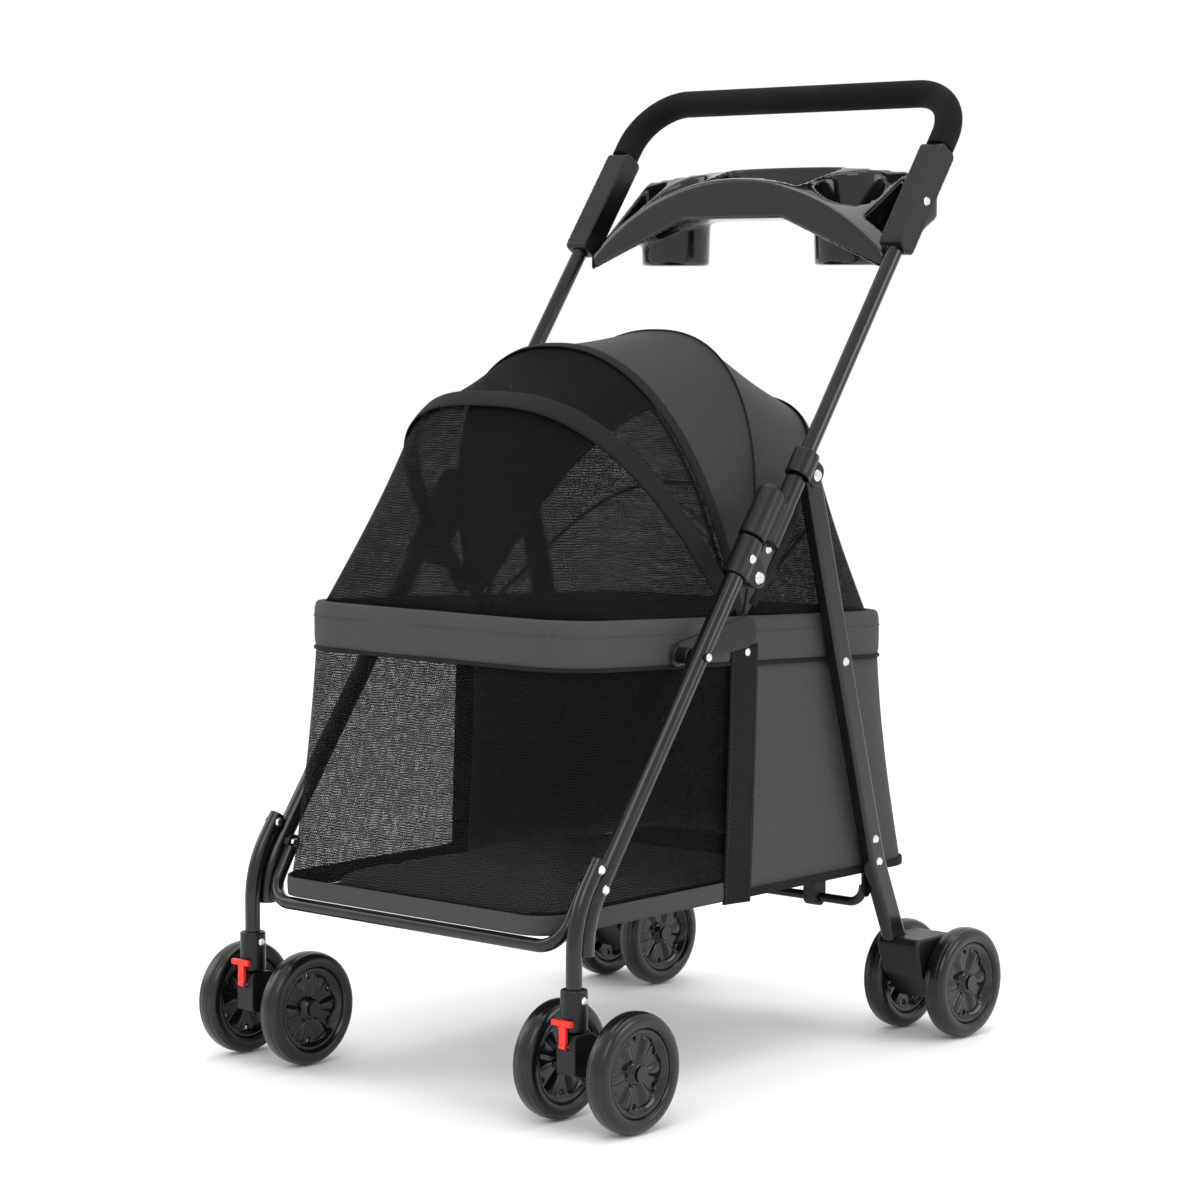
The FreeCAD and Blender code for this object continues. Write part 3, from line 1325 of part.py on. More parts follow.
def cabin_solid(inset, bottom, lift):
    """The cabin as a solid: level underside, outline of the rim above, band at the top."""
    half = size.cabin_across - inset
    low = ring_wire(half, size.cabin_front + inset, size.cabin_back - inset,
                    size.cabin_corner - inset, 0, bottom)
    waist_front = size.rim_front - size.rim_radius - 2 * size.cloth + inset
    waist_back = size.rim_back + size.rim_radius + 2 * size.cloth - inset
    corner = size.rim_corner + size.rim_radius + size.cloth - inset
    waist = ring_wire(half, waist_front, waist_back, corner, -size.band_half)
    top = ring_wire(half, waist_front, waist_back, corner, lift)
    lower = Part.makeLoft([low, waist], True, True)
    upper = Part.makeLoft([waist, top], True, True)
    return lower, upper


def cabin_fabric():
    """The cloth cabin: four walls, a band on the rim and a hem under the floor board."""
    lower, upper = cabin_solid(0, size.cabin_bottom, size.band_half)
    outer = lower.fuse(upper).removeSplitter()
    low_in, up_in = cabin_solid(size.cloth, size.cabin_bottom + size.cloth, size.band_half + 1)
    shape = outer.cut(low_in).cut(up_in)
    hole = Part.makeBox(2 * size.board_half + 1, size.board_back - size.board_front + 1,
                        10, Vector(-size.board_half - 0.5, size.board_front - 0.5,
                                   size.cabin_bottom - 4))
    shape = shape.cut(hole)
    pins = [across(CANOPY, size.hoop_pin + 0.5, -ACROSS_ALL, ACROSS_ALL),
            across((LINK[0], LINK[1] + 16), size.rivet_radius + 0.5, -ACROSS_ALL, ACROSS_ALL)]
    return shape.cut(Part.makeCompound(pins))


def bow_at(angle):
    """Reach and fullness of the canopy at an angle, eased between its bows."""
    top = size.hood_reach
    front = size.hood_front_reach
    knots = [(0, size.canopy_rear_foot, 8.0), (32, size.hood_rear_reach + HOOD_REAR_LIFT, 5.0),
             (47.5, top - HOOD_EDGE_DROP, 3.0), (74, top, 2.3), (105, front, 2.3),
             (128, front, 2.8), (180, size.canopy_front_foot, 8.0)]
    for first, second in zip(knots, knots[1:]):
        if angle <= second[0]:
            share = (angle - first[0]) / (second[0] - first[0])
            reach = first[1] + share * (second[1] - first[1])
            power = first[2] + share * (second[2] - first[2])
            return reach, power
    return knots[-1][1:]


def canopy_section(x, inset, drop):
    """Side view of the canopy at one place across: an arch closed along its base."""
    half = size.canopy_across
    points = []
    for angle in range(0, 181, 15):
        reach, power = bow_at(angle)
        points.append(canopy_point(angle, x, superellipse(reach, half, power, x) - inset))
    slope = -size.rim_drop
    for point in (points[0], points[-1]):
        point.z = CANOPY[1] + slope * (point.y - CANOPY[0])
    curve = Part.BSplineCurve()
    curve.interpolate(points)
    first = points[0] + Vector(0, 0, -drop)
    last = points[-1] + Vector(0, 0, -drop)
    edges = [curve.toShape()]
    if drop > 0:
        edges.append(Part.LineSegment(points[-1], last).toShape())
        edges.append(Part.LineSegment(last, first).toShape())
        edges.append(Part.LineSegment(first, points[0]).toShape())
    else:
        edges.append(Part.LineSegment(points[-1], points[0]).toShape())
    return Part.Wire(edges)


def canopy_solid(inset, drop, trim):
    half = size.canopy_across
    shares = [CANOPY_SIDE, 0.95, 0.88, 0.75, 0.55, 0.3, 0.0]
    places = [half * share - (trim if share == CANOPY_SIDE else 0) for share in shares]
    places = places + [-place for place in reversed(places[:-1])]
    sections = [canopy_section(place, inset, drop) for place in places]
    return Part.makeLoft(sections, True, False)


def canopy_fabric():
    """The canopy as a thin closed shell, open underneath."""
    thick = 1.6
    outer = canopy_solid(0, 0, 0)
    inner = canopy_solid(thick, 12, thick)
    shape = outer.cut(inner)
    return shape.cut(across(CANOPY, size.hoop_pin + 0.5, -ACROSS_ALL, ACROSS_ALL))


def side_strap():
    """A webbing strap down the outside of the cabin."""
    low = size.cabin_across + 0.15
    high = low + size.strap_thick
    half = size.strap_width / 2
    top_back = -15
    low_back = -26
    top = rim_height(top_back) - 4
    bottom = size.cabin_bottom - 4
    corners = [(top_back - half, top), (top_back + half, top), (low_back + half, bottom),
               (low_back - half, bottom)]
    strap = side_polygon(corners, [0.5] * 4, low, high)
    return strap


def rim():
    feature("rim_frame", rim_frame())
    feature("rim_pivots", rim_pivots())
    for label in BOWS:
        feature(label, hoop(label))
    feature("side_straps", both_sides(side_strap()))
    feature("cabin_fabric", cabin_fabric())
    feature("canopy_fabric", canopy_fabric())


# ---------------------------------------------------------------- floor


def floor_board():
    """The floor board with two clips that hinge on the rear crossbar."""
    thick = size.board_thick
    corners = [Vector(size.board_half, size.board_front, size.board_bottom),
               Vector(size.board_half, size.board_back, size.board_bottom),
               Vector(-size.board_half, size.board_back, size.board_bottom),
               Vector(-size.board_half, size.board_front, size.board_bottom)]
    wire = Part.Wire([edge.toShape() for edge in rounded(corners, [16] * 4)])
    board = Part.Face(wire).extrude(Vector(0, 0, thick))
    root = (CROSSBAR[0], size.board_bottom + 1)
    clips = []
    for sign in (-1, 1):
        low = sign * size.clip_across - size.clip_width / 2
        clip = side_link(CROSSBAR, size.clip_end, root, size.clip_end, low, low + size.clip_width)
        trim = Part.makeBox(400, 400, 50, Vector(-200, 0, size.board_bottom + thick))
        clips.append(clip.cut(trim))
    shape = board.multiFuse(clips).removeSplitter()
    return shape.cut(across(CROSSBAR, size.crossbar_radius + size.spin_clearance, -ACROSS_ALL, ACROSS_ALL))


def floor():
    feature("floor_board", floor_board())
    mat_bottom = size.board_bottom + size.board_thick
    corners = [Vector(size.mat_half, size.board_front + 4, 0), Vector(size.mat_half, size.mat_back, 0),
               Vector(-size.mat_half, size.mat_back, 0), Vector(-size.mat_half, size.board_front + 4, 0)]
    mat = padded_body("floor_mat", rounded(corners, [22] * 4), "XY_Plane", "sizes.mat_thick")
    mat.Placement = Placement(Vector(0, 0, mat_bottom), Rotation())


# ---------------------------------------------------------------- the stroller


def build():
    wheels()
    axles()
    casters()
    front_frame()
    handle()
    rear_frame()
    rim()
    floor()
    doc.recompute()


def check():
    """Every object is sound and every sub-part is a valid shape."""
    for item in doc.Objects:
        bad = [state for state in item.State if state in ("Invalid", "Error")]
        if bad:
            raise RuntimeError(f"{item.Name} is {bad}")
    for label, item in PARTS.items():
        shape = item.Shape
        if shape.isNull() or not shape.isValid() or not shape.Solids:
            raise RuntimeError(f"{label} has no valid solid")


def export():
    for label, item in PARTS.items():
        item.Shape.exportStep(f"parts/{label}.step")
    print(len(PARTS), "parts written")


build()
check()
export()
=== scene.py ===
import json
import math

import bmesh
import bpy
from bpy.props import FloatProperty, FloatVectorProperty, IntProperty, PointerProperty
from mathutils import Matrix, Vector, noise


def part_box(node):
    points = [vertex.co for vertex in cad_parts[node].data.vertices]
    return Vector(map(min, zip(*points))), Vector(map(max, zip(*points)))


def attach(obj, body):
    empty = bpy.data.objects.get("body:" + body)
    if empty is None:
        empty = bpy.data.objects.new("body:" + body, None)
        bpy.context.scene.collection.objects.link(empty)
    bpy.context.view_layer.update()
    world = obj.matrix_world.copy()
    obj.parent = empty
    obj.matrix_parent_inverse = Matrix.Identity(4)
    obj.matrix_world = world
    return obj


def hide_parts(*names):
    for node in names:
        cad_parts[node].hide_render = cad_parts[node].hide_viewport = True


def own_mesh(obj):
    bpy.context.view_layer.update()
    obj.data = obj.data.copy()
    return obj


bl_info = {
    "name": "Pet Stroller",
    "version": (1, 0, 0),
    "blender": (4, 5, 0),
    "location": "View3D > Sidebar > Stroller",
    "description": "Dresses the packed stroller frame with cloth, mouldings, wheels and finishes",
    "category": "Object",
}

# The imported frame, in metres: +Z up, front towards -Y, left of the pusher towards +X.
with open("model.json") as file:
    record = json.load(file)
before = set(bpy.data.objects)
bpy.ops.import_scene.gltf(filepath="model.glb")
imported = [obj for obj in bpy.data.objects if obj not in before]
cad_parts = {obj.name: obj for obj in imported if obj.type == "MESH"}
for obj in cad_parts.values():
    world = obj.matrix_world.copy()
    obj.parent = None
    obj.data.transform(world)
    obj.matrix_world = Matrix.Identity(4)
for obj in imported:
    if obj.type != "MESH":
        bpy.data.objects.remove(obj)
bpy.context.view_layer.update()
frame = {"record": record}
NODES = sorted(row["node"] for row in frame["record"]["subparts"])
JOINTS = {row["name"]: row for row in frame["record"]["behaviour"]["joints"]}
BODY_OF = {node: body for body, nodes in frame["record"]["behaviour"]["bodies"].items() for node in nodes}
SLOT_OF = {row["node"]: row["material_slot"] for row in frame["record"]["subparts"]}
MM = 0.001
SIDES = (("left", 1), ("right", -1))


# ---------------------------------------------------------------- places from the frame


def node_box(node):
    low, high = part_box(node)
    return Vector(low), Vector(high)


CANOPY_PIVOT = Vector(JOINTS["canopy_fold"]["pos_m"])
RIM_LOW, RIM_HIGH = node_box("rim_frame")
CABIN_LOW, CABIN_HIGH = node_box("cabin_fabric")
CANOPY_LOW, CANOPY_HIGH = node_box("canopy_fabric")
STRAP_LOW, STRAP_HIGH = node_box("side_straps")
RIM_TUBE = 4 * MM
# The rim falls this much for each metre towards the rear.
RIM_DROP = 0.0473
RIM_FRONT = RIM_LOW.y + RIM_TUBE
RIM_BACK = RIM_HIGH.y - RIM_TUBE
RIM_HALF = RIM_HIGH.x - RIM_TUBE
RIM_FRONT_HEIGHT = RIM_HIGH.z - RIM_TUBE
BAND_HALF = 24 * MM
CABIN_HALF = CABIN_HIGH.x
STRAP_TOP_BACK = -15 * MM
STRAP_LOW_BACK = -26 * MM

NET_THICKNESS = 0.5 * MM
STITCH_LENGTH = 1.7 * MM
STITCH_RADIUS = 0.45 * MM

# Hub: cells of the moulded face to one petal, the rings of cells that are open, and ring radii.
CELLS_PER_PETAL = 16
OPEN_RINGS = (11, 12)
HUB_RINGS = (0.0, 0.004, 0.008, 0.0098, 0.0105, 0.013, 0.016, 0.019, 0.022, 0.025, 0.028,
             0.031, 0.033, 0.035, 0.0365, 0.0380, 0.0395, 0.0415)
TYRE_SEAT = 0.0431
GROOVE_PLACE = 5.5 * MM
GROOVE_WIDTH = 0.9 * MM
GROOVE_DEPTH = 0.7 * MM

# Studio: light name, place, size in metres and power in watts; then where the camera looks from.
LIGHTS = (
    ("key_light", (1.6, -3.0, 3.2), 2.2, 45),
    ("left_light", (-3.2, -1.4, 2.0), 2.0, 25),
    ("right_light", (3.2, 1.2, 1.8), 1.6, 30),
    ("top_light", (0.0, 0.3, 3.6), 2.6, 40),
)
LIGHT_TARGET = (0, 0, 0.45)
CAMERA_TARGET = (0.0002, -0.0205, 0.4647)
CAMERA_AZIMUTH = 41.4
CAMERA_ELEVATION = 5.2
CAMERA_DISTANCE = 3.5008
CAMERA_LENS = 102.7
FLOOR_REACH = 60.0
FLOOR_DEPTH = -0.0006


def rim_height(back):
    """Height of the middle of the rim at a place along the stroller."""
    return RIM_FRONT_HEIGHT - RIM_DROP * (back - RIM_FRONT)


# ---------------------------------------------------------------- settings


class StrollerColours(bpy.types.PropertyGroup):
    """Colours that a user would change."""

    frame_paint: FloatVectorProperty(
        name="Frame", description="Paint on the tubes", subtype="COLOR", size=3,
        default=(0.006, 0.006, 0.0065), min=0, max=1)
    canopy_cloth: FloatVectorProperty(
        name="Canopy", description="Cloth of the hood", subtype="COLOR", size=3,
        default=(0.030, 0.030, 0.0305), min=0, max=1)
    cabin_cloth: FloatVectorProperty(
        name="Cabin", description="Cloth of the band and the rear walls", subtype="COLOR", size=3,
        default=(0.055, 0.0545, 0.0545), min=0, max=1)
    trim: FloatVectorProperty(
        name="Trim", description="Binding tape and piping", subtype="COLOR", size=3,
        default=(0.010, 0.010, 0.0102), min=0, max=1)
    lever: FloatVectorProperty(
        name="Lever", description="Swivel lock levers", subtype="COLOR", size=3,
        default=(0.80, 0.022, 0.012), min=0, max=1)


class StrollerSizes(bpy.types.PropertyGroup):
    """Sizes that a user would change."""

    cloth_thickness: FloatProperty(
        name="Cloth thickness", description="Thickness of the cloth walls", subtype="DISTANCE",
        unit="LENGTH", default=0.0014, min=0.0005, max=0.004)
    mesh_hole: FloatProperty(
        name="Mesh pitch", description="Spacing of the holes in the netting", subtype="DISTANCE",
        unit="LENGTH", default=0.0025, min=0.001, max=0.01)
    stitch_pitch: FloatProperty(
        name="Stitch pitch", description="Spacing of the stitches", subtype="DISTANCE",
        unit="LENGTH", default=0.0052, min=0.002, max=0.02)
    petals: IntProperty(
        name="Hub petals", description="Sculpted petals on one hub", default=6, min=3, max=12)


# ---------------------------------------------------------------- shader building blocks


def new_group(name, inputs, outputs):
    """A shader node group with named sockets."""
    tree = bpy.data.node_groups.new(name, "ShaderNodeTree")
    for label, kind, default in inputs:
        socket = tree.interface.new_socket(label, in_out="INPUT", socket_type=kind)
        if default is not None:
            socket.default_value = default
    for label, kind in outputs:
        tree.interface.new_socket(label, in_out="OUTPUT", socket_type=kind)
    start = tree.nodes.new("NodeGroupInput")
    end = tree.nodes.new("NodeGroupOutput")
    return tree, start, end


def math_node(tree, operation, first, second=None):
    node = tree.nodes.new("ShaderNodeMath")
    node.operation = operation
    for socket, value in zip(node.inputs, (first, second)):
        if value is None:
            continue
        if isinstance(value, (int, float)):
            socket.default_value = value
        else:
            tree.links.new(value, socket)
    return node.outputs[0]


def build_weave_group():
    """Plain weave: warp and weft threads over and under; the vector is in metres."""
    tree, start, end = new_group(
        "cloth_weave",
        [("Vector", "NodeSocketVector", None), ("Threads per metre", "NodeSocketFloat", 900.0)],
        [("Height", "NodeSocketFloat"), ("Shade", "NodeSocketFloat")])
    scaled = tree.nodes.new("ShaderNodeVectorMath")
    scaled.operation = "SCALE"
    tree.links.new(start.outputs["Vector"], scaled.inputs[0])
    tree.links.new(start.outputs["Threads per metre"], scaled.inputs["Scale"])
    split = tree.nodes.new("ShaderNodeSeparateXYZ")
    tree.links.new(scaled.outputs[0], split.inputs[0])
    across = math_node(tree, "SINE", math_node(tree, "MULTIPLY", split.outputs[0], math.pi))
    along = math_node(tree, "SINE", math_node(tree, "MULTIPLY", split.outputs[1], math.pi))
    height = math_node(tree, "MULTIPLY", across, along)
    tree.links.new(height, end.inputs["Height"])
    speckle = tree.nodes.new("ShaderNodeTexNoise")
    speckle.inputs["Scale"].default_value = 0.35
    speckle.inputs["Detail"].default_value = 3.0
    tree.links.new(scaled.outputs[0], speckle.inputs["Vector"])
    tree.links.new(speckle.outputs[0], end.inputs["Shade"])
    return tree


def build_net_group():
    """Knitted netting: rows of rounded holes; Cover is 1 on a thread and 0 in a hole."""
    tree, start, end = new_group(
        "net_holes",
        [("Vector", "NodeSocketVector", None), ("Pitch", "NodeSocketFloat", 0.002),
         ("Opening", "NodeSocketFloat", 0.3), ("Haze", "NodeSocketFloat", 0.2)],
        [("Cover", "NodeSocketFloat"), ("Height", "NodeSocketFloat")])
    scaled = tree.nodes.new("ShaderNodeVectorMath")
    scaled.operation = "SCALE"
    rate = math_node(tree, "DIVIDE", 1.0, start.outputs["Pitch"])
    drift = tree.nodes.new("ShaderNodeTexNoise")
    drift.inputs["Scale"].default_value = 90.0
    drift.inputs["Detail"].default_value = 2.0
    tree.links.new(start.outputs["Vector"], drift.inputs["Vector"])
    nudge = tree.nodes.new("ShaderNodeVectorMath")
    nudge.operation = "MULTIPLY_ADD"
    nudge.inputs[1].default_value = (0.005, 0.005, 0.0)
    tree.links.new(drift.outputs["Color"], nudge.inputs[0])
    tree.links.new(start.outputs["Vector"], nudge.inputs[2])
    tree.links.new(nudge.outputs[0], scaled.inputs[0])
    tree.links.new(rate, scaled.inputs["Scale"])
    split = tree.nodes.new("ShaderNodeSeparateXYZ")
    tree.links.new(scaled.outputs[0], split.inputs[0])
    row = math_node(tree, "FLOOR", split.outputs[1])
    shift = math_node(tree, "MULTIPLY", math_node(tree, "MODULO", row, 2.0), 0.5)
    column = math_node(tree, "FRACT", math_node(tree, "ADD", split.outputs[0], shift))
    band = math_node(tree, "FRACT", split.outputs[1])
    away_x = math_node(tree, "POWER", math_node(tree, "SUBTRACT", column, 0.5), 2.0)
    away_y = math_node(tree, "POWER", math_node(tree, "SUBTRACT", band, 0.5), 2.0)
    reach = math_node(tree, "SQRT", math_node(tree, "ADD", away_x, away_y))
    edge = math_node(tree, "SUBTRACT", reach, start.outputs["Opening"])
    steep = math_node(tree, "MULTIPLY", edge, 9.0)
    cover = math_node(tree, "MINIMUM", math_node(tree, "MAXIMUM", steep, 0.0), 1.0)
    veiled = math_node(tree, "MAXIMUM", cover, start.outputs["Haze"])
    tree.links.new(veiled, end.inputs["Cover"])
    tree.links.new(cover, end.inputs["Height"])
    return tree


def build_grain_group():
    """Fine grain of a moulding, foam or paint, with a broad slow variation."""
    tree, start, end = new_group(
        "surface_grain",
        [("Vector", "NodeSocketVector", None), ("Fineness", "NodeSocketFloat", 900.0),
         ("Low", "NodeSocketFloat", 0.3), ("High", "NodeSocketFloat", 0.4)],
        [("Height", "NodeSocketFloat"), ("Roughness", "NodeSocketFloat"), ("Broad", "NodeSocketFloat")])
    fine = tree.nodes.new("ShaderNodeTexNoise")
    fine.inputs["Detail"].default_value = 4.0
    tree.links.new(start.outputs["Vector"], fine.inputs["Vector"])
    tree.links.new(start.outputs["Fineness"], fine.inputs["Scale"])
    broad = tree.nodes.new("ShaderNodeTexNoise")
    broad.inputs["Scale"].default_value = 22.0
    broad.inputs["Detail"].default_value = 5.0
    tree.links.new(start.outputs["Vector"], broad.inputs["Vector"])
    span = tree.nodes.new("ShaderNodeMapRange")
    span.inputs["From Min"].default_value = 0.35
    span.inputs["From Max"].default_value = 0.65
    tree.links.new(broad.outputs[0], span.inputs["Value"])
    tree.links.new(start.outputs["Low"], span.inputs["To Min"])
    tree.links.new(start.outputs["High"], span.inputs["To Max"])
    tree.links.new(fine.outputs[0], end.inputs["Height"])
    tree.links.new(span.outputs[0], end.inputs["Roughness"])
    tree.links.new(broad.outputs[0], end.inputs["Broad"])
    return tree


def group_node(tree, group_name):
    node = tree.nodes.new("ShaderNodeGroup")
    node.node_tree = bpy.data.node_groups[group_name]
    return node


def start_material(name):
    """A new node material with its Principled shader."""
    material = bpy.data.materials.new(name)
    material.use_nodes = True
    shader = next(node for node in material.node_tree.nodes if node.type == "BSDF_PRINCIPLED")
    return material, material.node_tree, shader


def tinted(tree, colour, mask, amount):
    """The colour, a little lighter or darker where the mask says."""
    mix = tree.nodes.new("ShaderNodeMix")
    mix.data_type = "RGBA"
    darker = [channel * (1 - amount) for channel in colour]
    lighter = [min(1.0, channel * (1 + amount) + 0.002 * amount) for channel in colour]
    mix.inputs["A"].default_value = (*darker, 1)
    mix.inputs["B"].default_value = (*lighter, 1)
    tree.links.new(mask, mix.inputs["Factor"])
    return mix.outputs["Result"]


def bumped(tree, shader, height, depth, strength=1.0):
    bump = tree.nodes.new("ShaderNodeBump")
    bump.inputs["Distance"].default_value = depth
    bump.inputs["Strength"].default_value = strength
    tree.links.new(height, bump.inputs["Height"])
    tree.links.new(bump.outputs[0], shader.inputs["Normal"])


def hard_material(name, colour, rough, fineness, depth, metallic=0.0, coat=0.0, tint=0.25, gloss=0.3):
    """Paint, moulding, foam or metal: grain on Object coordinates."""
    material, tree, shader = start_material(name)
    place = tree.nodes.new("ShaderNodeTexCoord")
    grain = group_node(tree, "surface_grain")
    grain.inputs["Fineness"].default_value = fineness
    grain.inputs["Low"].default_value = rough[0]
    grain.inputs["High"].default_value = rough[1]
    tree.links.new(place.outputs["Object"], grain.inputs["Vector"])
    tree.links.new(grain.outputs["Roughness"], shader.inputs["Roughness"])
    tree.links.new(tinted(tree, colour, grain.outputs["Broad"], tint), shader.inputs["Base Color"])
    shader.inputs["Metallic"].default_value = metallic
    shader.inputs["Coat Weight"].default_value = coat
    shader.inputs["Coat Roughness"].default_value = 0.06
    shader.inputs["Specular IOR Level"].default_value = 0.5 if metallic else gloss
    bumped(tree, shader, grain.outputs["Height"], depth)
    return material


def cloth_material(name, colour, threads, depth, sheen=0.25, rough=0.75, tint=0.18):
    """Woven cloth whose threads follow the piece's own UV map, in metres."""
    material, tree, shader = start_material(name)
    place = tree.nodes.new("ShaderNodeUVMap")
    weave = group_node(tree, "cloth_weave")
    weave.inputs["Threads per metre"].default_value = threads
    tree.links.new(place.outputs[0], weave.inputs["Vector"])
    tree.links.new(tinted(tree, colour, weave.outputs["Shade"], tint), shader.inputs["Base Color"])
    shader.inputs["Roughness"].default_value = rough
    shader.inputs["Sheen Weight"].default_value = sheen
    shader.inputs["Sheen Roughness"].default_value = 0.45
    shader.inputs["Specular IOR Level"].default_value = 0.14
    bumped(tree, shader, weave.outputs["Height"], depth)
    return material


def net_material(name, colour, pitch, opening, haze):
    """Netting: threads with clear holes between them."""
    material, tree, shader = start_material(name)
    place = tree.nodes.new("ShaderNodeUVMap")
    net = group_node(tree, "net_holes")
    net.inputs["Pitch"].default_value = pitch
    net.inputs["Opening"].default_value = opening
    net.inputs["Haze"].default_value = haze
    tree.links.new(place.outputs[0], net.inputs["Vector"])
    tree.links.new(net.outputs["Cover"], shader.inputs["Alpha"])
    tree.links.new(tinted(tree, colour, net.outputs["Height"], 0.3), shader.inputs["Base Color"])
    shader.inputs["Roughness"].default_value = 0.7
    shader.inputs["Specular IOR Level"].default_value = 0.06
    bumped(tree, shader, net.outputs["Height"], 0.0003)
    return material


MATERIALS = {}


def make_materials(colours, sizes):
    """Every finish of the stroller."""
    build_weave_group()
    build_net_group()
    build_grain_group()
    paint = tuple(colours.frame_paint)
    canopy = tuple(colours.canopy_cloth)
    cabin = tuple(colours.cabin_cloth)
    trim = tuple(colours.trim)
    lever = tuple(colours.lever)
    pitch = sizes.mesh_hole
    MATERIALS.update({
        "tube_black": hard_material("tube_paint", paint, (0.14, 0.24), 1400, 0.00002, coat=0.15, gloss=0.35),
        "plastic_black": hard_material("satin_moulding", (0.006, 0.006, 0.0065), (0.28, 0.40), 2600, 0.00006),
        "steel_dark": hard_material(
            "painted_blade", (0.02, 0.02, 0.021),
            (0.25, 0.35), 1600, 0.00003, coat=0.2),
        "rivet_steel": hard_material(
            "bright_rivet", (0.72, 0.72, 0.71),
            (0.18, 0.32), 1800, 0.00002, metallic=1.0),
        "grip_foam": hard_material(
            "grip_foam", (0.005, 0.005, 0.005),
            (0.72, 0.9), 1500, 0.00035, gloss=0.12),
        "tray_gloss": hard_material(
            "tray_gloss", (0.004, 0.004, 0.0045),
            (0.10, 0.18), 500, 0.00001, coat=0.4),
        "lever_red": hard_material("red_moulding", lever, (0.22, 0.34), 1800, 0.00003, coat=0.2, tint=0.08),
        "hoop_plastic": hard_material("hoop_rod", (0.012, 0.012, 0.012), (0.35, 0.5), 1800, 0.00003),
        "board_plastic": hard_material("floor_board_face", (0.02, 0.02, 0.02), (0.5, 0.65), 1200, 0.0001),
        "tyre_black": hard_material(
            "tyre_face", (0.004, 0.004, 0.004),
            (0.24, 0.36), 900, 0.00005, coat=0.25),
        "hub_black": hard_material(
            "hub_moulding", (0.0045, 0.0045, 0.0045),
            (0.16, 0.26), 1500, 0.00003, coat=0.3),
        "canopy_cloth": cloth_material("canopy_cloth", canopy, 1100, 0.00010, sheen=0.02, rough=0.5),
        "cabin_cloth": cloth_material("cabin_cloth", cabin, 950, 0.00014, sheen=0.02, rough=0.78),
        "trim_tape": cloth_material("trim_tape", trim, 1300, 0.00018, sheen=0.0, rough=0.7),
        "webbing": cloth_material("strap_webbing", (0.005, 0.005, 0.005), 700, 0.0003, sheen=0.0, rough=0.65),
        # Floor mat: its own grey cloth colour raised to a pale warm tone, painted light standing in for the
        # light inside the cabin.
        "mat_cloth": cloth_material("mat_cloth", (0.22, 0.205, 0.19), 800, 0.0002, sheen=0.15, rough=0.85),
        "net_fine": net_material("netting", (0.006, 0.006, 0.006), pitch, 0.34, 0.42),
        "net_dense": net_material("netting_close", (0.005, 0.005, 0.005), pitch, 0.38, 0.25),
        "stitch": hard_material("stitch_thread", (0.045, 0.045, 0.045), (0.6, 0.8), 1500, 0.00005),
    })


# ---------------------------------------------------------------- mesh building blocks


def link_object(name, mesh):
    item = bpy.data.objects.new(name, mesh)
    bpy.context.scene.collection.objects.link(item)
    return item


def finish_piece(item, body, material=None):
    """Gives a piece its finish and the body that it rides on."""
    if material is not None:
        item.data.materials.clear()
        item.data.materials.append(MATERIALS[material])
    for polygon in item.data.polygons:
        polygon.use_smooth = True
    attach(item, body)
    return item


def baked(item):
    """The object's modifiers turned into plain mesh."""
    graph = bpy.context.evaluated_depsgraph_get()
    mesh = bpy.data.meshes.new_from_object(item.evaluated_get(graph))
    item.modifiers.clear()
    old = item.data
    item.data = mesh
    mesh.name = item.name
    bpy.data.meshes.remove(old)
    return item


def grid_mesh(name, rows, wrap_rows=False, wrap_columns=False):
    """A sheet of quads through rows of points, with a UV map in metres."""
    bm = bmesh.new()
    uv = bm.loops.layers.uv.new("UVMap")
    points = [[bm.verts.new(point) for point in row] for row in rows]
    row_count = len(rows)
    column_count = len(rows[0])
    lengthwise = [0.0]
    middle = column_count // 2
    for first, second in zip(rows, rows[1:]):
        lengthwise.append(lengthwise[-1] + (second[middle] - first[middle]).length)
    if wrap_rows:
        lengthwise.append(lengthwise[-1] + (rows[0][middle] - rows[-1][middle]).length)
    widest = max(rows, key=lambda row: sum((b - a).length for a, b in zip(row, row[1:])))
    crosswise = [0.0]
    for first, second in zip(widest, widest[1:]):
        crosswise.append(crosswise[-1] + (second - first).length)
    if wrap_columns:
        crosswise.append(crosswise[-1] + (widest[0] - widest[-1]).length)
    for i in range(row_count if wrap_rows else row_count - 1):
        for j in range(column_count if wrap_columns else column_count - 1):
            k = (i + 1) % row_count
            m = (j + 1) % column_count
            corners = [points[i][j], points[i][m], points[k][m], points[k][j]]
            face = bm.faces.new(corners)
            marks = [(crosswise[j], lengthwise[i]), (crosswise[j + 1], lengthwise[i]),
                     (crosswise[j + 1], lengthwise[i + 1]), (crosswise[j], lengthwise[i + 1])]
            for loop, mark in zip(face.loops, marks):
                loop[uv].uv = mark
    bmesh.ops.remove_doubles(bm, verts=bm.verts, dist=1e-6)
    bmesh.ops.recalc_face_normals(bm, faces=bm.faces)
    mesh = bpy.data.meshes.new(name)
    bm.to_mesh(mesh)
    bm.free()
    return mesh


def lay_flat(mesh):
    """Gives a sheet a UV map in metres, each face seen along the axis that it faces most."""
    layer = mesh.uv_layers.get("UVMap") or mesh.uv_layers.new(name="UVMap")
    planes = ((1, 2), (0, 2), (0, 1))
    for polygon in mesh.polygons:
        facing = [abs(value) for value in polygon.normal]
        first, second = planes[facing.index(max(facing))]
        for corner in polygon.loop_indices:
            place = mesh.vertices[mesh.loops[corner].vertex_index].co
            layer.data[corner].uv = (place[first], place[second])


def face_away(mesh, centre):
    """Turns a sheet so that its faces look away from a point."""
    total = sum((polygon.center - centre).dot(polygon.normal) * polygon.area for polygon in mesh.polygons)
    if total < 0:
        mesh.flip_normals()


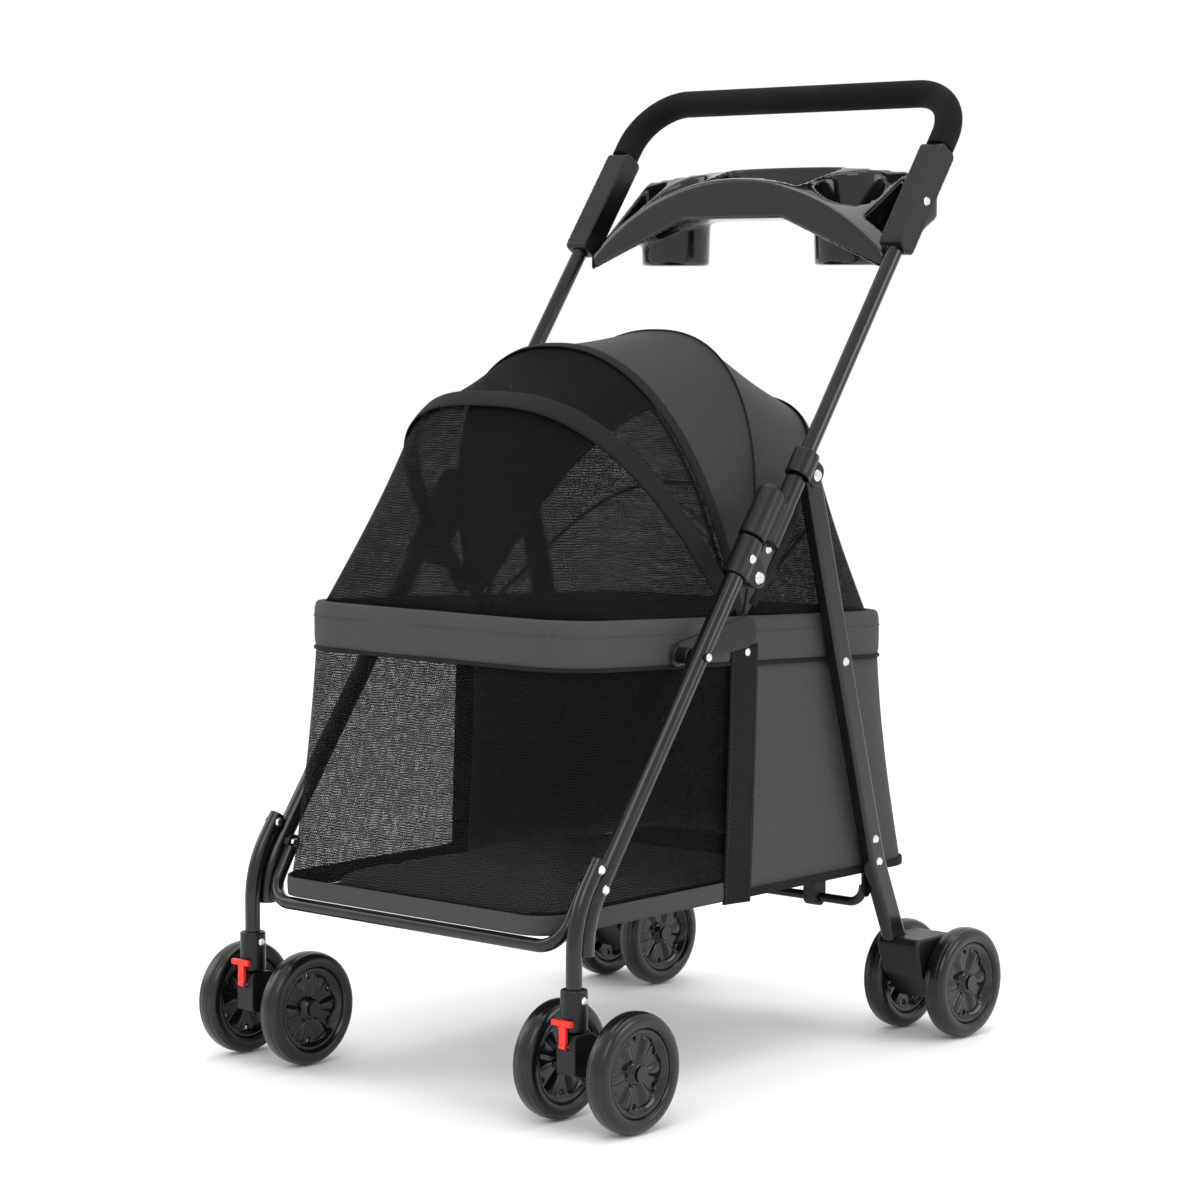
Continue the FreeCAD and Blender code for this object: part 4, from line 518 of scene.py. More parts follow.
def cloth_sheet(name, rows, centre, thickness, body, material):
    """A sheet of cloth through rows of points, thickened inwards."""
    mesh = grid_mesh(name, rows)
    face_away(mesh, centre)
    lay_flat(mesh)
    item = link_object(name, mesh)
    solid = item.modifiers.new("thickness", "SOLIDIFY")
    solid.thickness = thickness
    solid.offset = -1
    baked(item)
    finish_piece(item, body, material)
    return item


def swept(name, path, section, closed):
    """A closed outline carried along a path; section rows are (outward, upward)."""
    count = len(path)
    rows = []
    for index in range(count):
        before = path[index - 1] if (index > 0 or closed) else path[index]
        after = path[(index + 1) % count] if (index < count - 1 or closed) else path[index]
        heading = (after[0] - before[0]).normalized()
        outward = (path[index][1] - heading * path[index][1].dot(heading)).normalized()
        upward = heading.cross(outward)
        rows.append([path[index][0] + outward * a + upward * b for a, b in section])
    mesh = grid_mesh(name, rows, wrap_rows=closed, wrap_columns=True)
    if not closed:
        cap_ends(mesh)
    return mesh


def cap_ends(mesh):
    bm = bmesh.new()
    bm.from_mesh(mesh)
    edges = [edge for edge in bm.edges if edge.is_boundary]
    bmesh.ops.holes_fill(bm, edges=edges, sides=0)
    bmesh.ops.recalc_face_normals(bm, faces=bm.faces)
    bm.to_mesh(mesh)
    bm.free()


def round_section(radius, sides=10):
    turns = [2 * math.pi * index / sides for index in range(sides)]
    return [(radius * math.cos(turn), radius * math.sin(turn)) for turn in turns]


def tape_section(width, thick, bulge=0.0, steps=6):
    """A flat tape: outward is its thickness, upward is its width."""
    outer = []
    for index in range(steps + 1):
        share = index / steps
        rise = -width / 2 + width * share
        outer.append((thick / 2 + bulge * math.sin(math.pi * share), rise))
    inner = [(-thick / 2, rise) for _, rise in reversed(outer)]
    return outer + inner


# ---------------------------------------------------------------- canopy shapes

# angle from straight back, reach in metres, fullness
REAR_BASE = (0.0, 0.2500, 8.0)
HOOD_REAR = (47.5, 0.2960, 3.0)
HOOD_MIDDLE = (74.0, 0.3000, 2.3)
HOOD_FRONT = (105.0, 0.2850, 2.3)
FRONT_BOW = (128.0, 0.2850, 2.8)
FRONT_BASE = (178.0, 0.2545, 8.0)
CANOPY_HALF = CANOPY_HIGH.x + 3.5 * MM
COLUMNS = 72


def bow_point(bow, share):
    """A point on a bow; share runs from one pivot (0) over the top to the other (1)."""
    angle, reach, power = bow
    turn = math.pi * share
    across = CANOPY_HALF * math.copysign(abs(math.cos(turn)) ** (2 / power), math.cos(turn))
    out = reach * max(math.sin(turn), 0.0) ** (2 / power)
    heading = math.radians(angle)
    back = out * math.cos(heading)
    lift = out * math.sin(heading)
    tilt = -RIM_DROP * back if bow in (REAR_BASE, FRONT_BASE) else 0.0
    return CANOPY_PIVOT + Vector((across, back, lift + tilt))


def between(first, second, share, along, sag):
    """A point of the cloth stretched between two bows."""
    start = bow_point(first, share)
    end = bow_point(second, share)
    point = start.lerp(end, along)
    inward = (CANOPY_PIVOT + Vector((point.x - CANOPY_PIVOT.x, 0, 0)) - point)
    if inward.length > 1e-6:
        inward.normalize()
    pull = sag * math.sin(math.pi * along) * math.sin(math.pi * share) ** 0.7
    ripple = noise.noise(Vector((point.x * 14, point.y * 9, point.z * 9))) * 0.0012
    return point + inward * (pull + ripple * math.sin(math.pi * along))


def canopy_rows(bows, steps, sag, margin=0.004):
    """Rows of points over the cloth between successive bows."""
    rows = []
    shares = [margin + (1 - 2 * margin) * index / COLUMNS for index in range(COLUMNS + 1)]
    for number, (first, second) in enumerate(zip(bows, bows[1:])):
        start = 0 if number == 0 else 1
        for step in range(start, steps + 1):
            rows.append([between(first, second, share, step / steps, sag) for share in shares])
    return rows


def bow_path(bow, lift=0.0, margin=0.008):
    """A bow as a path with its outward directions."""
    path = []
    for index in range(2 * COLUMNS + 1):
        share = margin + (1 - 2 * margin) * index / (2 * COLUMNS)
        point = bow_point(bow, share)
        outward = point - CANOPY_PIVOT
        outward.x *= 0.6
        outward.normalize()
        path.append((point + outward * lift, outward))
    return path


def gather(item):
    """Gives a piece at the front of the canopy its own copy of its mesh."""
    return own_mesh(item)


def crumple(item):
    """Gives a soft piece of the cabin its own copy of its mesh."""
    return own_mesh(item)


def bow_tape(name, bow, width, thick, lift):
    """Binding tape along a bow, flat on the cloth."""
    path = bow_path(bow, lift)
    mesh = swept(name, path, tape_section(width, thick, bulge=thick * 0.5), False)
    item = link_object(name, mesh)
    return finish_piece(item, "rim", "trim_tape")


# ---------------------------------------------------------------- cabin shapes


def ring_points(half, front, back, corner, height_at, split_back):
    """Half of a ring from the middle of the front to the middle of the rear, left side."""
    marks = []
    for index in range(10):
        marks.append((half - corner) * index / 10)
    points = [(x, front) for x in marks]
    for index in range(11):
        turn = math.pi / 2 * index / 10
        points.append((half - corner + corner * math.sin(turn), front + corner - corner * math.cos(turn)))
    front_end = front + corner
    for index in range(1, 13):
        points.append((half, front_end + (split_back - front_end) * index / 12))
    split = len(points) - 1
    rear_start = back - corner
    for index in range(1, 13):
        points.append((half, split_back + (rear_start - split_back) * index / 12))
    for index in range(1, 11):
        turn = math.pi / 2 * index / 10
        points.append((half - corner + corner * math.cos(turn), rear_start + corner * math.sin(turn)))
    for index in range(1, 11):
        points.append(((half - corner) * (1 - index / 10), back))
    ring = [Vector((x, y, height_at(y))) for x, y in points]
    return ring, split


WAIST_FRONT = RIM_FRONT - 8 * MM
WAIST_BACK = RIM_BACK + 8 * MM


def waist_ring(lift, grow=0.0):
    return ring_points(CABIN_HALF + grow, WAIST_FRONT - grow, WAIST_BACK + grow, 54 * MM + grow,
                       lambda back: rim_height(back) + lift, STRAP_TOP_BACK)


def floor_ring(lift, grow=0.0):
    return ring_points(CABIN_HALF + grow, CABIN_LOW.y - grow, CABIN_HIGH.y + grow, 35 * MM + grow,
                       lambda back: CABIN_LOW.z + lift, STRAP_LOW_BACK)


def mirror_ring(half_ring):
    """The whole ring: left half forwards, right half back, starting at the rear middle."""
    left = list(reversed(half_ring))
    right = [Vector((-point.x, point.y, point.z)) for point in half_ring[1:]]
    return left + right


def wall_rows(part, steps, sag):
    """Rows down the cabin wall; part is 'front' (netting) or 'rear' (cloth)."""
    top, split = waist_ring(-BAND_HALF + 3 * MM)
    low, _ = floor_ring(1 * MM)
    if part == "front":
        top = top[:split + 1]
        low = low[:split + 1]
    else:
        top = list(reversed(top[split:]))
        low = list(reversed(low[split:]))
    rows = []
    for step in range(steps + 1):
        along = step / steps
        row = []
        for upper, lower in zip(top, low):
            point = upper.lerp(lower, along)
            inward = Vector((-point.x, -point.y * 0.6, 0)).normalized()
            ripple = 0.0016 * noise.noise(Vector((point.x * 11, point.y * 11, point.z * 7)))
            fullness = math.sin(math.pi * along)
            row.append(point + inward * (sag * fullness + ripple * fullness))
        mirror = [Vector((-point.x, point.y, point.z)) for point in row[1:]]
        rows.append(list(reversed(row)) + mirror)
    return rows


def ring_path(half_ring, closed=True):
    """A ring as a path with its outward directions."""
    whole = mirror_ring(half_ring)
    if closed:
        whole = whole[:-1]
    path = []
    count = len(whole)
    for index, point in enumerate(whole):
        before = whole[index - 1] if (closed or index > 0) else point
        after = whole[(index + 1) % count] if (closed or index < count - 1) else point
        heading = after - before
        outward = Vector((heading.y, -heading.x, 0))
        if outward.dot(Vector((point.x, point.y, 0))) < 0:
            outward.negate()
        path.append((point, outward.normalized()))
    return path


# ---------------------------------------------------------------- geometry nodes: stitches


def stitch_tree(pitch, length, radius):
    """Stitches laid along a curve: small rounded threads, realized and given a finish."""
    tree = bpy.data.node_groups.new("stitch_row", "GeometryNodeTree")
    tree.interface.new_socket("Geometry", in_out="INPUT", socket_type="NodeSocketGeometry")
    for label, value in (("Pitch", pitch), ("Length", length), ("Radius", radius)):
        socket = tree.interface.new_socket(label, in_out="INPUT", socket_type="NodeSocketFloat")
        socket.default_value = value
    tree.interface.new_socket("Finish", in_out="INPUT", socket_type="NodeSocketMaterial")
    tree.interface.new_socket("Geometry", in_out="OUTPUT", socket_type="NodeSocketGeometry")
    start = tree.nodes.new("NodeGroupInput")
    end = tree.nodes.new("NodeGroupOutput")
    spots = tree.nodes.new("GeometryNodeCurveToPoints")
    spots.mode = "LENGTH"
    tree.links.new(start.outputs["Geometry"], spots.inputs["Curve"])
    tree.links.new(start.outputs["Pitch"], spots.inputs["Length"])
    thread = tree.nodes.new("GeometryNodeMeshUVSphere")
    thread.inputs["Segments"].default_value = 6
    thread.inputs["Rings"].default_value = 4
    thread.inputs["Radius"].default_value = 1.0
    size = tree.nodes.new("ShaderNodeCombineXYZ")
    tree.links.new(start.outputs["Radius"], size.inputs[0])
    tree.links.new(start.outputs["Radius"], size.inputs[1])
    tree.links.new(start.outputs["Length"], size.inputs[2])
    place = tree.nodes.new("GeometryNodeInstanceOnPoints")
    tree.links.new(spots.outputs["Points"], place.inputs["Points"])
    tree.links.new(thread.outputs["Mesh"], place.inputs["Instance"])
    tree.links.new(spots.outputs["Rotation"], place.inputs["Rotation"])
    tree.links.new(size.outputs[0], place.inputs["Scale"])
    real = tree.nodes.new("GeometryNodeRealizeInstances")
    tree.links.new(place.outputs["Instances"], real.inputs["Geometry"])
    paint = tree.nodes.new("GeometryNodeSetMaterial")
    tree.links.new(real.outputs["Geometry"], paint.inputs["Geometry"])
    tree.links.new(start.outputs["Finish"], paint.inputs["Material"])
    tree.links.new(paint.outputs["Geometry"], end.inputs["Geometry"])
    return tree


def stitch_row(name, points, closed, body, sizes):
    """One row of stitches along a line of points, baked to a plain mesh."""
    curve = bpy.data.curves.new(name + "_line", "CURVE")
    curve.dimensions = "3D"
    spline = curve.splines.new("POLY")
    spline.points.add(len(points) - 1)
    for spot, point in zip(spline.points, points):
        spot.co = (*point, 1)
    spline.use_cyclic_u = closed
    line = link_object(name + "_line", curve)
    tree = bpy.data.node_groups.get("stitch_row") or stitch_tree(
        sizes.stitch_pitch, STITCH_LENGTH, STITCH_RADIUS)
    modifier = line.modifiers.new("stitches", "NODES")
    modifier.node_group = tree
    sockets = {item.name: item.identifier for item in tree.interface.items_tree if item.in_out == "INPUT"}
    modifier[sockets["Pitch"]] = sizes.stitch_pitch
    modifier[sockets["Length"]] = STITCH_LENGTH
    modifier[sockets["Radius"]] = STITCH_RADIUS
    modifier[sockets["Finish"]] = MATERIALS["stitch"]
    graph = bpy.context.evaluated_depsgraph_get()
    mesh = bpy.data.meshes.new_from_object(line.evaluated_get(graph))
    bpy.data.objects.remove(line)
    if not mesh.polygons:
        raise RuntimeError(f"{name} has no stitches")
    item = link_object(name, mesh)
    return finish_piece(item, body)


# ---------------------------------------------------------------- softened mouldings


def softened(node, voxel, passes, material):
    """A moulding with its edges rounded: the node's shape, remeshed and relaxed."""
    source = bpy.data.objects[node]
    mesh = source.data.copy()
    item = link_object("moulded_" + node, mesh)
    bm = bmesh.new()
    bm.from_mesh(mesh)
    bmesh.ops.remove_doubles(bm, verts=bm.verts, dist=1e-6)
    bm.to_mesh(mesh)
    bm.free()
    remesh = item.modifiers.new("remesh", "REMESH")
    remesh.mode = "VOXEL"
    remesh.voxel_size = voxel
    relax = item.modifiers.new("relax", "SMOOTH")
    relax.factor = 0.5
    relax.iterations = passes
    baked(item)
    finish_piece(item, BODY_OF[node], material)
    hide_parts(node)
    return item


# ---------------------------------------------------------------- operators


class StrollerOperator(bpy.types.Operator):
    """Shared settings of the stroller's operators."""

    bl_options = {"REGISTER", "UNDO"}

    @property
    def sizes(self):
        return bpy.context.scene.stroller_sizes

    @property
    def colours(self):
        return bpy.context.scene.stroller_colours


class STROLLER_OT_finishes(StrollerOperator):
    """Build the materials and give every carried-over node its finish"""

    bl_idname = "stroller.finishes"
    bl_label = "Finishes"

    def execute(self, context):
        make_materials(self.colours, self.sizes)
        for node in NODES:
            item = bpy.data.objects[node]
            capped = node == "rear_axles" or node.startswith("caster_axle")
            material = MATERIALS["hub_black" if capped else SLOT_OF[node]]
            item.data.materials.clear()
            item.data.materials.append(material)
        return {"FINISHED"}


class STROLLER_OT_canopy(StrollerOperator):
    """Stretch the hood and its netting over the bows"""

    bl_idname = "stroller.canopy"
    bl_label = "Canopy"

    def execute(self, context):
        thick = self.sizes.cloth_thickness
        front = cloth_sheet("canopy_front_net", canopy_rows([FRONT_BASE, FRONT_BOW, HOOD_FRONT], 12, 0.004),
                            CANOPY_PIVOT, NET_THICKNESS, "rim", "net_fine")
        hood = cloth_sheet("canopy_hood", canopy_rows([HOOD_FRONT, HOOD_MIDDLE, HOOD_REAR], 12, 0.003),
                           CANOPY_PIVOT, thick, "rim", "canopy_cloth")
        cloth_sheet("canopy_rear_net", canopy_rows([HOOD_REAR, REAR_BASE], 12, 0.006),
                    CANOPY_PIVOT, NET_THICKNESS, "rim", "net_fine")
        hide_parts("canopy_fabric")
        gather(front)
        gather(bow_tape("canopy_front_tape", FRONT_BOW, 0.022, 0.0012, 0.0004))
        bow_tape("hood_front_tape", HOOD_FRONT, 0.012, 0.0012, 0.0006)
        bow_tape("hood_rear_tape", HOOD_REAR, 0.010, 0.0012, 0.0006)
        bow_tape("hood_middle_seam", HOOD_MIDDLE, 0.0016, 0.0014, 0.0004)
        return {"FINISHED"}


class STROLLER_OT_cabin(StrollerOperator):
    """Hang the netting, the cloth walls, the padded band and the bindings"""

    bl_idname = "stroller.cabin"
    bl_label = "Cabin"

    def execute(self, context):
        thick = self.sizes.cloth_thickness
        centre = Vector((0, 0, rim_height(0) - 0.12))
        net = cloth_sheet("cabin_front_net", wall_rows("front", 14, 0.003), centre, NET_THICKNESS, "rim",
                          "net_dense")
        rear = cloth_sheet("cabin_rear_wall", wall_rows("rear", 14, 0.004), centre, thick, "rim",
                           "cabin_cloth")
        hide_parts("cabin_fabric")
        for item in (net, rear):
            crumple(item)
        self.band()
        self.trims()
        return {"FINISHED"}

    def band(self):
        """The padded sleeve over the rim frame."""
        middle, _ = waist_ring(0)
        path = []
        for point, outward in ring_path(middle):
            swell = 0.0012 * noise.noise(Vector((point.x * 16, point.y * 16, 3)))
            path.append((point + outward * swell, outward))
        section = []
        half = BAND_HALF
        for turn_index in range(24):
            turn = 2 * math.pi * turn_index / 24
            rise = half * math.copysign(abs(math.sin(turn)) ** 0.5, math.sin(turn))
            out = 0.0065 * math.copysign(abs(math.cos(turn)) ** 0.6, math.cos(turn)) - 0.0045
            section.append((out, rise))
        mesh = swept("rim_band", path, section, True)
        item = link_object("rim_band", mesh)
        finish_piece(item, "rim", "cabin_cloth")

    def trims(self):
        """Piping and stitches on the band, and bindings along the floor edge."""
        sizes = self.sizes
        low_edge, _ = waist_ring(-BAND_HALF + 0.001, 0.0006)
        mesh = swept("band_piping", ring_path(low_edge), round_section(0.0021), True)
        finish_piece(link_object("band_piping", mesh), "rim", "trim_tape")
        seam, _ = waist_ring(0.009, 0.0024)
        seam_line = [point for point, _ in ring_path(seam)]
        stitch_row("band_stitches", seam_line, True, "rim", sizes)
        edge, split = floor_ring(0.0105, 0.0008)
        path = ring_path(edge[:split + 1], closed=False)
        mesh = swept("floor_binding", path, tape_section(0.019, 0.0014, bulge=0.0006), False)
        crumple(finish_piece(link_object("floor_binding", mesh), "rim", "cabin_cloth"))
        rear_edge, split = floor_ring(0.0045, 0.0008)
        tail = rear_edge[split:]
        path = ring_path(list(reversed(tail)), closed=False)
        mesh = swept("rear_floor_binding", path, tape_section(0.008, 0.0014, bulge=0.0004), False)
        crumple(finish_piece(link_object("rear_floor_binding", mesh), "rim", "trim_tape"))


class STROLLER_OT_straps(StrollerOperator):
    """Webbing straps down the sides of the cabin"""

    bl_idname = "stroller.straps"
    bl_label = "Straps"

    def execute(self, context):
        width = STRAP_HIGH.y - STRAP_LOW.y - abs(STRAP_TOP_BACK - STRAP_LOW_BACK)
        for side, sign in SIDES:
            path = []
            outward = Vector((sign, 0, 0))
            top = Vector((sign * (CABIN_HALF + 0.0016), STRAP_TOP_BACK, rim_height(STRAP_TOP_BACK) - 0.004))
            low = Vector((sign * (CABIN_HALF + 0.0016), STRAP_LOW_BACK, CABIN_LOW.z - 0.003))
            for index in range(41):
                share = index / 40
                bow = 0.0008 * math.sin(math.pi * share)
                path.append((top.lerp(low, share) + outward * bow, outward))
            mesh = swept("strap_" + side, path, tape_section(width, 0.0018, bulge=0.0003, steps=12), False)
            item = link_object("strap_" + side, mesh)
            finish_piece(item, "rim", "webbing")
            crumple(item)
            if sign > 0:
                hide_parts("side_straps")
            for edge_sign in (-1, 1):
                shift = Vector((0, edge_sign * (width / 2 - 0.003), 0))
                line = [point + outward * 0.0013 + shift for point, _ in path]
                row = stitch_row(f"strap_{side}_stitches_{'rear' if edge_sign > 0 else 'front'}", line, False,
                                 "rim", self.sizes)
                crumple(row)
        return {"FINISHED"}


class STROLLER_OT_caps(StrollerOperator):
    """Domed rivet caps on the rim pivots and the strap brackets"""

    bl_idname = "stroller.caps"
    bl_label = "Rivet caps"

    def execute(self, context):
        _, high = node_box("rim_pivots")
        pivot = Vector(JOINTS["rim_fold"]["pos_m"])
        bracket = Vector((0, STRAP_TOP_BACK + 0.004, rim_height(STRAP_TOP_BACK) - 0.012))
        for side, sign in SIDES:
            self.cap("rim_pivot_cap_" + side, Vector((sign * high.x, pivot.y, pivot.z)), sign)
            outer = sign * (STRAP_HIGH.x + 0.0006)
            self.cap("strap_cap_" + side, Vector((outer, bracket.y, bracket.z)), sign)
        return {"FINISHED"}

    def cap(self, name, place, sign, radius=0.0042, rise=0.0020):
        rows = []
        for index in range(9):
            turn = math.pi / 2 * index / 8
            out = radius * math.cos(turn)
            height = rise * math.sin(turn)
            rows.append([place + Vector((sign * height, out * math.cos(2 * math.pi * step / 24),
                                         out * math.sin(2 * math.pi * step / 24))) for step in range(24)])
        mesh = grid_mesh(name, rows, wrap_columns=True)
        cap_ends(mesh)
        finish_piece(link_object(name, mesh), "rim", "rivet_steel")


class STROLLER_OT_mat(StrollerOperator):
    """The padded floor mat, puffed by a short cloth simulation"""

    bl_idname = "stroller.mat"
    bl_label = "Floor mat"

    def execute(self, context):
        low, high = node_box("floor_mat")
        item = self.blank(low, high)
        self.puff(item)
        self.finish_mat(item, low, high)
        return {"FINISHED"}

    def blank(self, low, high):
        """A thin slab a little inside the CAD mat, with rounded corners."""
        inset = 0.003
        mesh = bpy.data.meshes.new("floor_mat_pad")
        bm = bmesh.new()
        bmesh.ops.create_cube(bm, size=1.0)
        size = high - low - Vector((2 * inset, 2 * inset, 0.006))
        centre = (high + low) / 2 - Vector((0, 0, 0.0015))
        bmesh.ops.scale(bm, vec=size, verts=bm.verts)
        bmesh.ops.translate(bm, vec=centre, verts=bm.verts)
        upright = [edge for edge in bm.edges if abs((edge.verts[0].co - edge.verts[1].co).z) > 0.002]
        bmesh.ops.bevel(bm, geom=upright, offset=0.02, segments=6, affect="EDGES")
        bm.to_mesh(mesh)
        bm.free()
        item = link_object("floor_mat_pad", mesh)
        remesh = item.modifiers.new("remesh", "REMESH")
        remesh.mode = "VOXEL"
        remesh.voxel_size = 0.005
        return baked(item)

    def puff(self, item):
        scene = bpy.context.scene
        rest = [vertex.co.copy() for vertex in item.data.vertices]
        cloth = item.modifiers.new("puff", "CLOTH")
        cloth.settings.use_pressure = True
        cloth.settings.uniform_pressure_force = 4.0
        cloth.settings.effector_weights.gravity = 0.0
        cloth.settings.quality = 4
        for number in range(1, 21):
            scene.frame_set(number)
        graph = bpy.context.evaluated_depsgraph_get()
        moved = item.evaluated_get(graph).data
        cap = 0.006
        places = []
        for start, vertex in zip(rest, moved.vertices):
            step = vertex.co - start
            if step.length > cap:
                step = step.normalized() * cap
            places.append(start + step)
        item.modifiers.clear()
        for vertex, place in zip(item.data.vertices, places):
            vertex.co = place
        scene.frame_set(1)

    def finish_mat(self, item, low, high):
        """Keeps the pad in its space, sews channels across it and gives it a UV map."""
        for vertex in item.data.vertices:
            place = vertex.co
            upper = place.z > (low.z + high.z) / 2
            if upper:
                for number in (-1, 0, 1):
                    seam = (low.y + high.y) / 2 + number * (high.y - low.y) / 4
                    dip = math.exp(-((place.y - seam) / 0.006) ** 2)
                    place.z -= 0.0035 * dip
            place.x = min(max(place.x, low.x), high.x)
            place.y = min(max(place.y, low.y), high.y)
            place.z = min(max(place.z, low.z + 0.0002), high.z + 0.002)
        smooth = item.modifiers.new("subdivide", "SUBSURF")
        smooth.levels = 1
        smooth.render_levels = 1
        baked(item)
        layer = item.data.uv_layers.new(name="UVMap")
        for loop in item.data.loops:
            place = item.data.vertices[loop.vertex_index].co
            layer.data[loop.index].uv = (place.x + place.z, place.y)
        # The pad's finish carries painted light: a colour paler than the mat's own grey, standing in for
        # light inside the cabin.
        finish_piece(item, "floor", "mat_cloth")
        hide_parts("floor_mat")


class STROLLER_OT_wheels(StrollerOperator):
    """Eight wheels: a grooved tyre on a hub with sculpted petals"""

    bl_idname = "stroller.wheels"
    bl_label = "Wheels"

    def execute(self, context):
        for end in ("front", "rear"):
            for side, sign in SIDES:
                for twin, step in (("outer", 1), ("inner", -1)):
                    name = f"{end}_{side}_{twin}"
                    self.tyre(name)
                    self.hub(name, sign * step, self.sizes.petals)
        return {"FINISHED"}

    def tyre(self, name):
        low, high = node_box("tyre_" + name)
        centre = (low + high) / 2
        half = (high.x - low.x) / 2
        radius = (high.z - low.z) / 2
        profile = []
        for index in range(33):
            turn = math.pi * index / 32
            across = half * math.copysign(abs(math.cos(turn)) ** 0.75, math.cos(turn))
            out = TYRE_SEAT + 0.003 + (radius - TYRE_SEAT - 0.003) * math.sin(turn) ** 0.62
            groove = GROOVE_DEPTH * sum(math.exp(-((across - spot) / GROOVE_WIDTH) ** 2)
                                        for spot in (-GROOVE_PLACE, GROOVE_PLACE))
            profile.append((across, out - groove))
        profile += [(-half * 0.94, TYRE_SEAT), (half * 0.94, TYRE_SEAT)]
        rows = []
        sides = 96
        for index in range(sides):
            turn = 2 * math.pi * index / sides
            rows.append([centre + Vector((across, out * math.cos(turn), out * math.sin(turn)))
                         for across, out in profile])
        mesh = grid_mesh("wheel_tyre_" + name, rows, wrap_rows=True, wrap_columns=True)
        item = link_object("wheel_tyre_" + name, mesh)
        finish_piece(item, "wheel_" + name, "tyre_black")
        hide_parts("tyre_" + name)

    def hub(self, name, facing, petals):
        """A moulded disc: domed cap, petals, small holes between them and a raised ring."""
        low, high = node_box("hub_" + name)
        centre = (low + high) / 2
        rim = (high.z - low.z) / 2
        sides = CELLS_PER_PETAL * petals
        rings = [*HUB_RINGS, rim]
        outer = []
        inner = []
        for radius in rings:
            outer_row = []
            inner_row = []
            for index in range(sides):
                turn = 2 * math.pi * index / sides
                height = self.relief(radius, turn, petals)
                around = Vector((0, radius * math.cos(turn), radius * math.sin(turn)))
                outer_row.append(centre + around + Vector((facing * height, 0, 0)))
                inner_row.append(centre + around - Vector((facing * height * 0.9, 0, 0)))
            outer.append(outer_row)
            inner.append(inner_row)
        bm = bmesh.new()
        faces_out = [[bm.verts.new(point) for point in row] for row in outer]
        faces_in = [[bm.verts.new(point) for point in row] for row in inner]
        open_cells = set()
        for petal in range(petals):
            middle = petal * CELLS_PER_PETAL + CELLS_PER_PETAL // 2
            for cell in (middle - 1, middle):
                for ring in OPEN_RINGS:
                    open_cells.add((ring, cell % sides))
        for ring in range(len(rings) - 1):
            for side in range(sides):
                following = (side + 1) % sides
                if (ring, side) in open_cells:
                    self.hole_walls(bm, faces_out, faces_in, ring, side, sides, open_cells)
                    continue
                bm.faces.new([faces_out[ring][side], faces_out[ring + 1][side],
                              faces_out[ring + 1][following], faces_out[ring][following]])
                bm.faces.new([faces_in[ring][side], faces_in[ring][following],
                              faces_in[ring + 1][following], faces_in[ring + 1][side]])
        last = len(rings) - 1
        for side in range(sides):
            following = (side + 1) % sides
            bm.faces.new([faces_out[last][side], faces_in[last][side],
                          faces_in[last][following], faces_out[last][following]])
        bmesh.ops.remove_doubles(bm, verts=bm.verts, dist=1e-6)
        bmesh.ops.recalc_face_normals(bm, faces=bm.faces)
        mesh = bpy.data.meshes.new("wheel_hub_" + name)
        bm.to_mesh(mesh)
        bm.free()
        item = link_object("wheel_hub_" + name, mesh)
        finish_piece(item, "wheel_" + name, "hub_black")
        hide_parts("hub_" + name)

    def hole_walls(self, bm, outer, inner, ring, side, sides, open_cells):
        following = (side + 1) % sides
        edges = (((ring - 1, side), (ring, side), (ring, following)),
                 ((ring + 1, side), (ring + 1, side), (ring + 1, following)),
                 ((ring, (side - 1) % sides), (ring, side), (ring + 1, side)),
                 ((ring, following), (ring, following), (ring + 1, following)))
        for neighbour, first, second in edges:
            if neighbour in open_cells:
                continue
            bm.faces.new([outer[first[0]][first[1]], outer[second[0]][second[1]],
                          inner[second[0]][second[1]], inner[first[0]][first[1]]])

    def relief(self, radius, turn, petals):
        """Height of the hub face over its middle plane."""
        if radius < 0.0100:
            return 0.0104 - 0.0016 * (radius / 0.0100) ** 2
        if radius > 0.0370:
            return 0.0098 - 0.0012 * abs(radius - 0.0395) / 0.0035
        across = math.cos(petals * turn)
        lobe = max(0.0, across) ** 0.45
        along = math.sin(math.pi * min(1.0, (radius - 0.0105) / 0.0265)) ** 0.5
        valley = 0.0022
        dish = 0.0016 * math.sin(math.pi * (radius - 0.0105) / 0.0265)
        return valley + 0.0058 * lobe * along - dish * lobe


class STROLLER_OT_mouldings(StrollerOperator):
    """Round the edges of the tray, clamps, sleeves, brackets, casters, levers and pedals"""

    bl_idname = "stroller.mouldings"
    bl_label = "Mouldings"

    def execute(self, context):
        softened("tray", 0.0022, 9, "tray_gloss")
        fine = ["tray_clamps", "saddles", "leg_brackets", "rim_pivots", "caster_sockets"]
        for side, _ in SIDES:
            fine += ["lock_slider_" + side, "rear_wheel_bracket_" + side, "caster_body_" + side]
        for node in fine:
            softened(node, 0.0012, 3, "plastic_black")
        for side, _ in SIDES:
            softened("swivel_lock_" + side, 0.0006, 2, "lever_red")
            softened("brake_pedal_" + side, 0.0008, 3, "plastic_black")
        return {"FINISHED"}


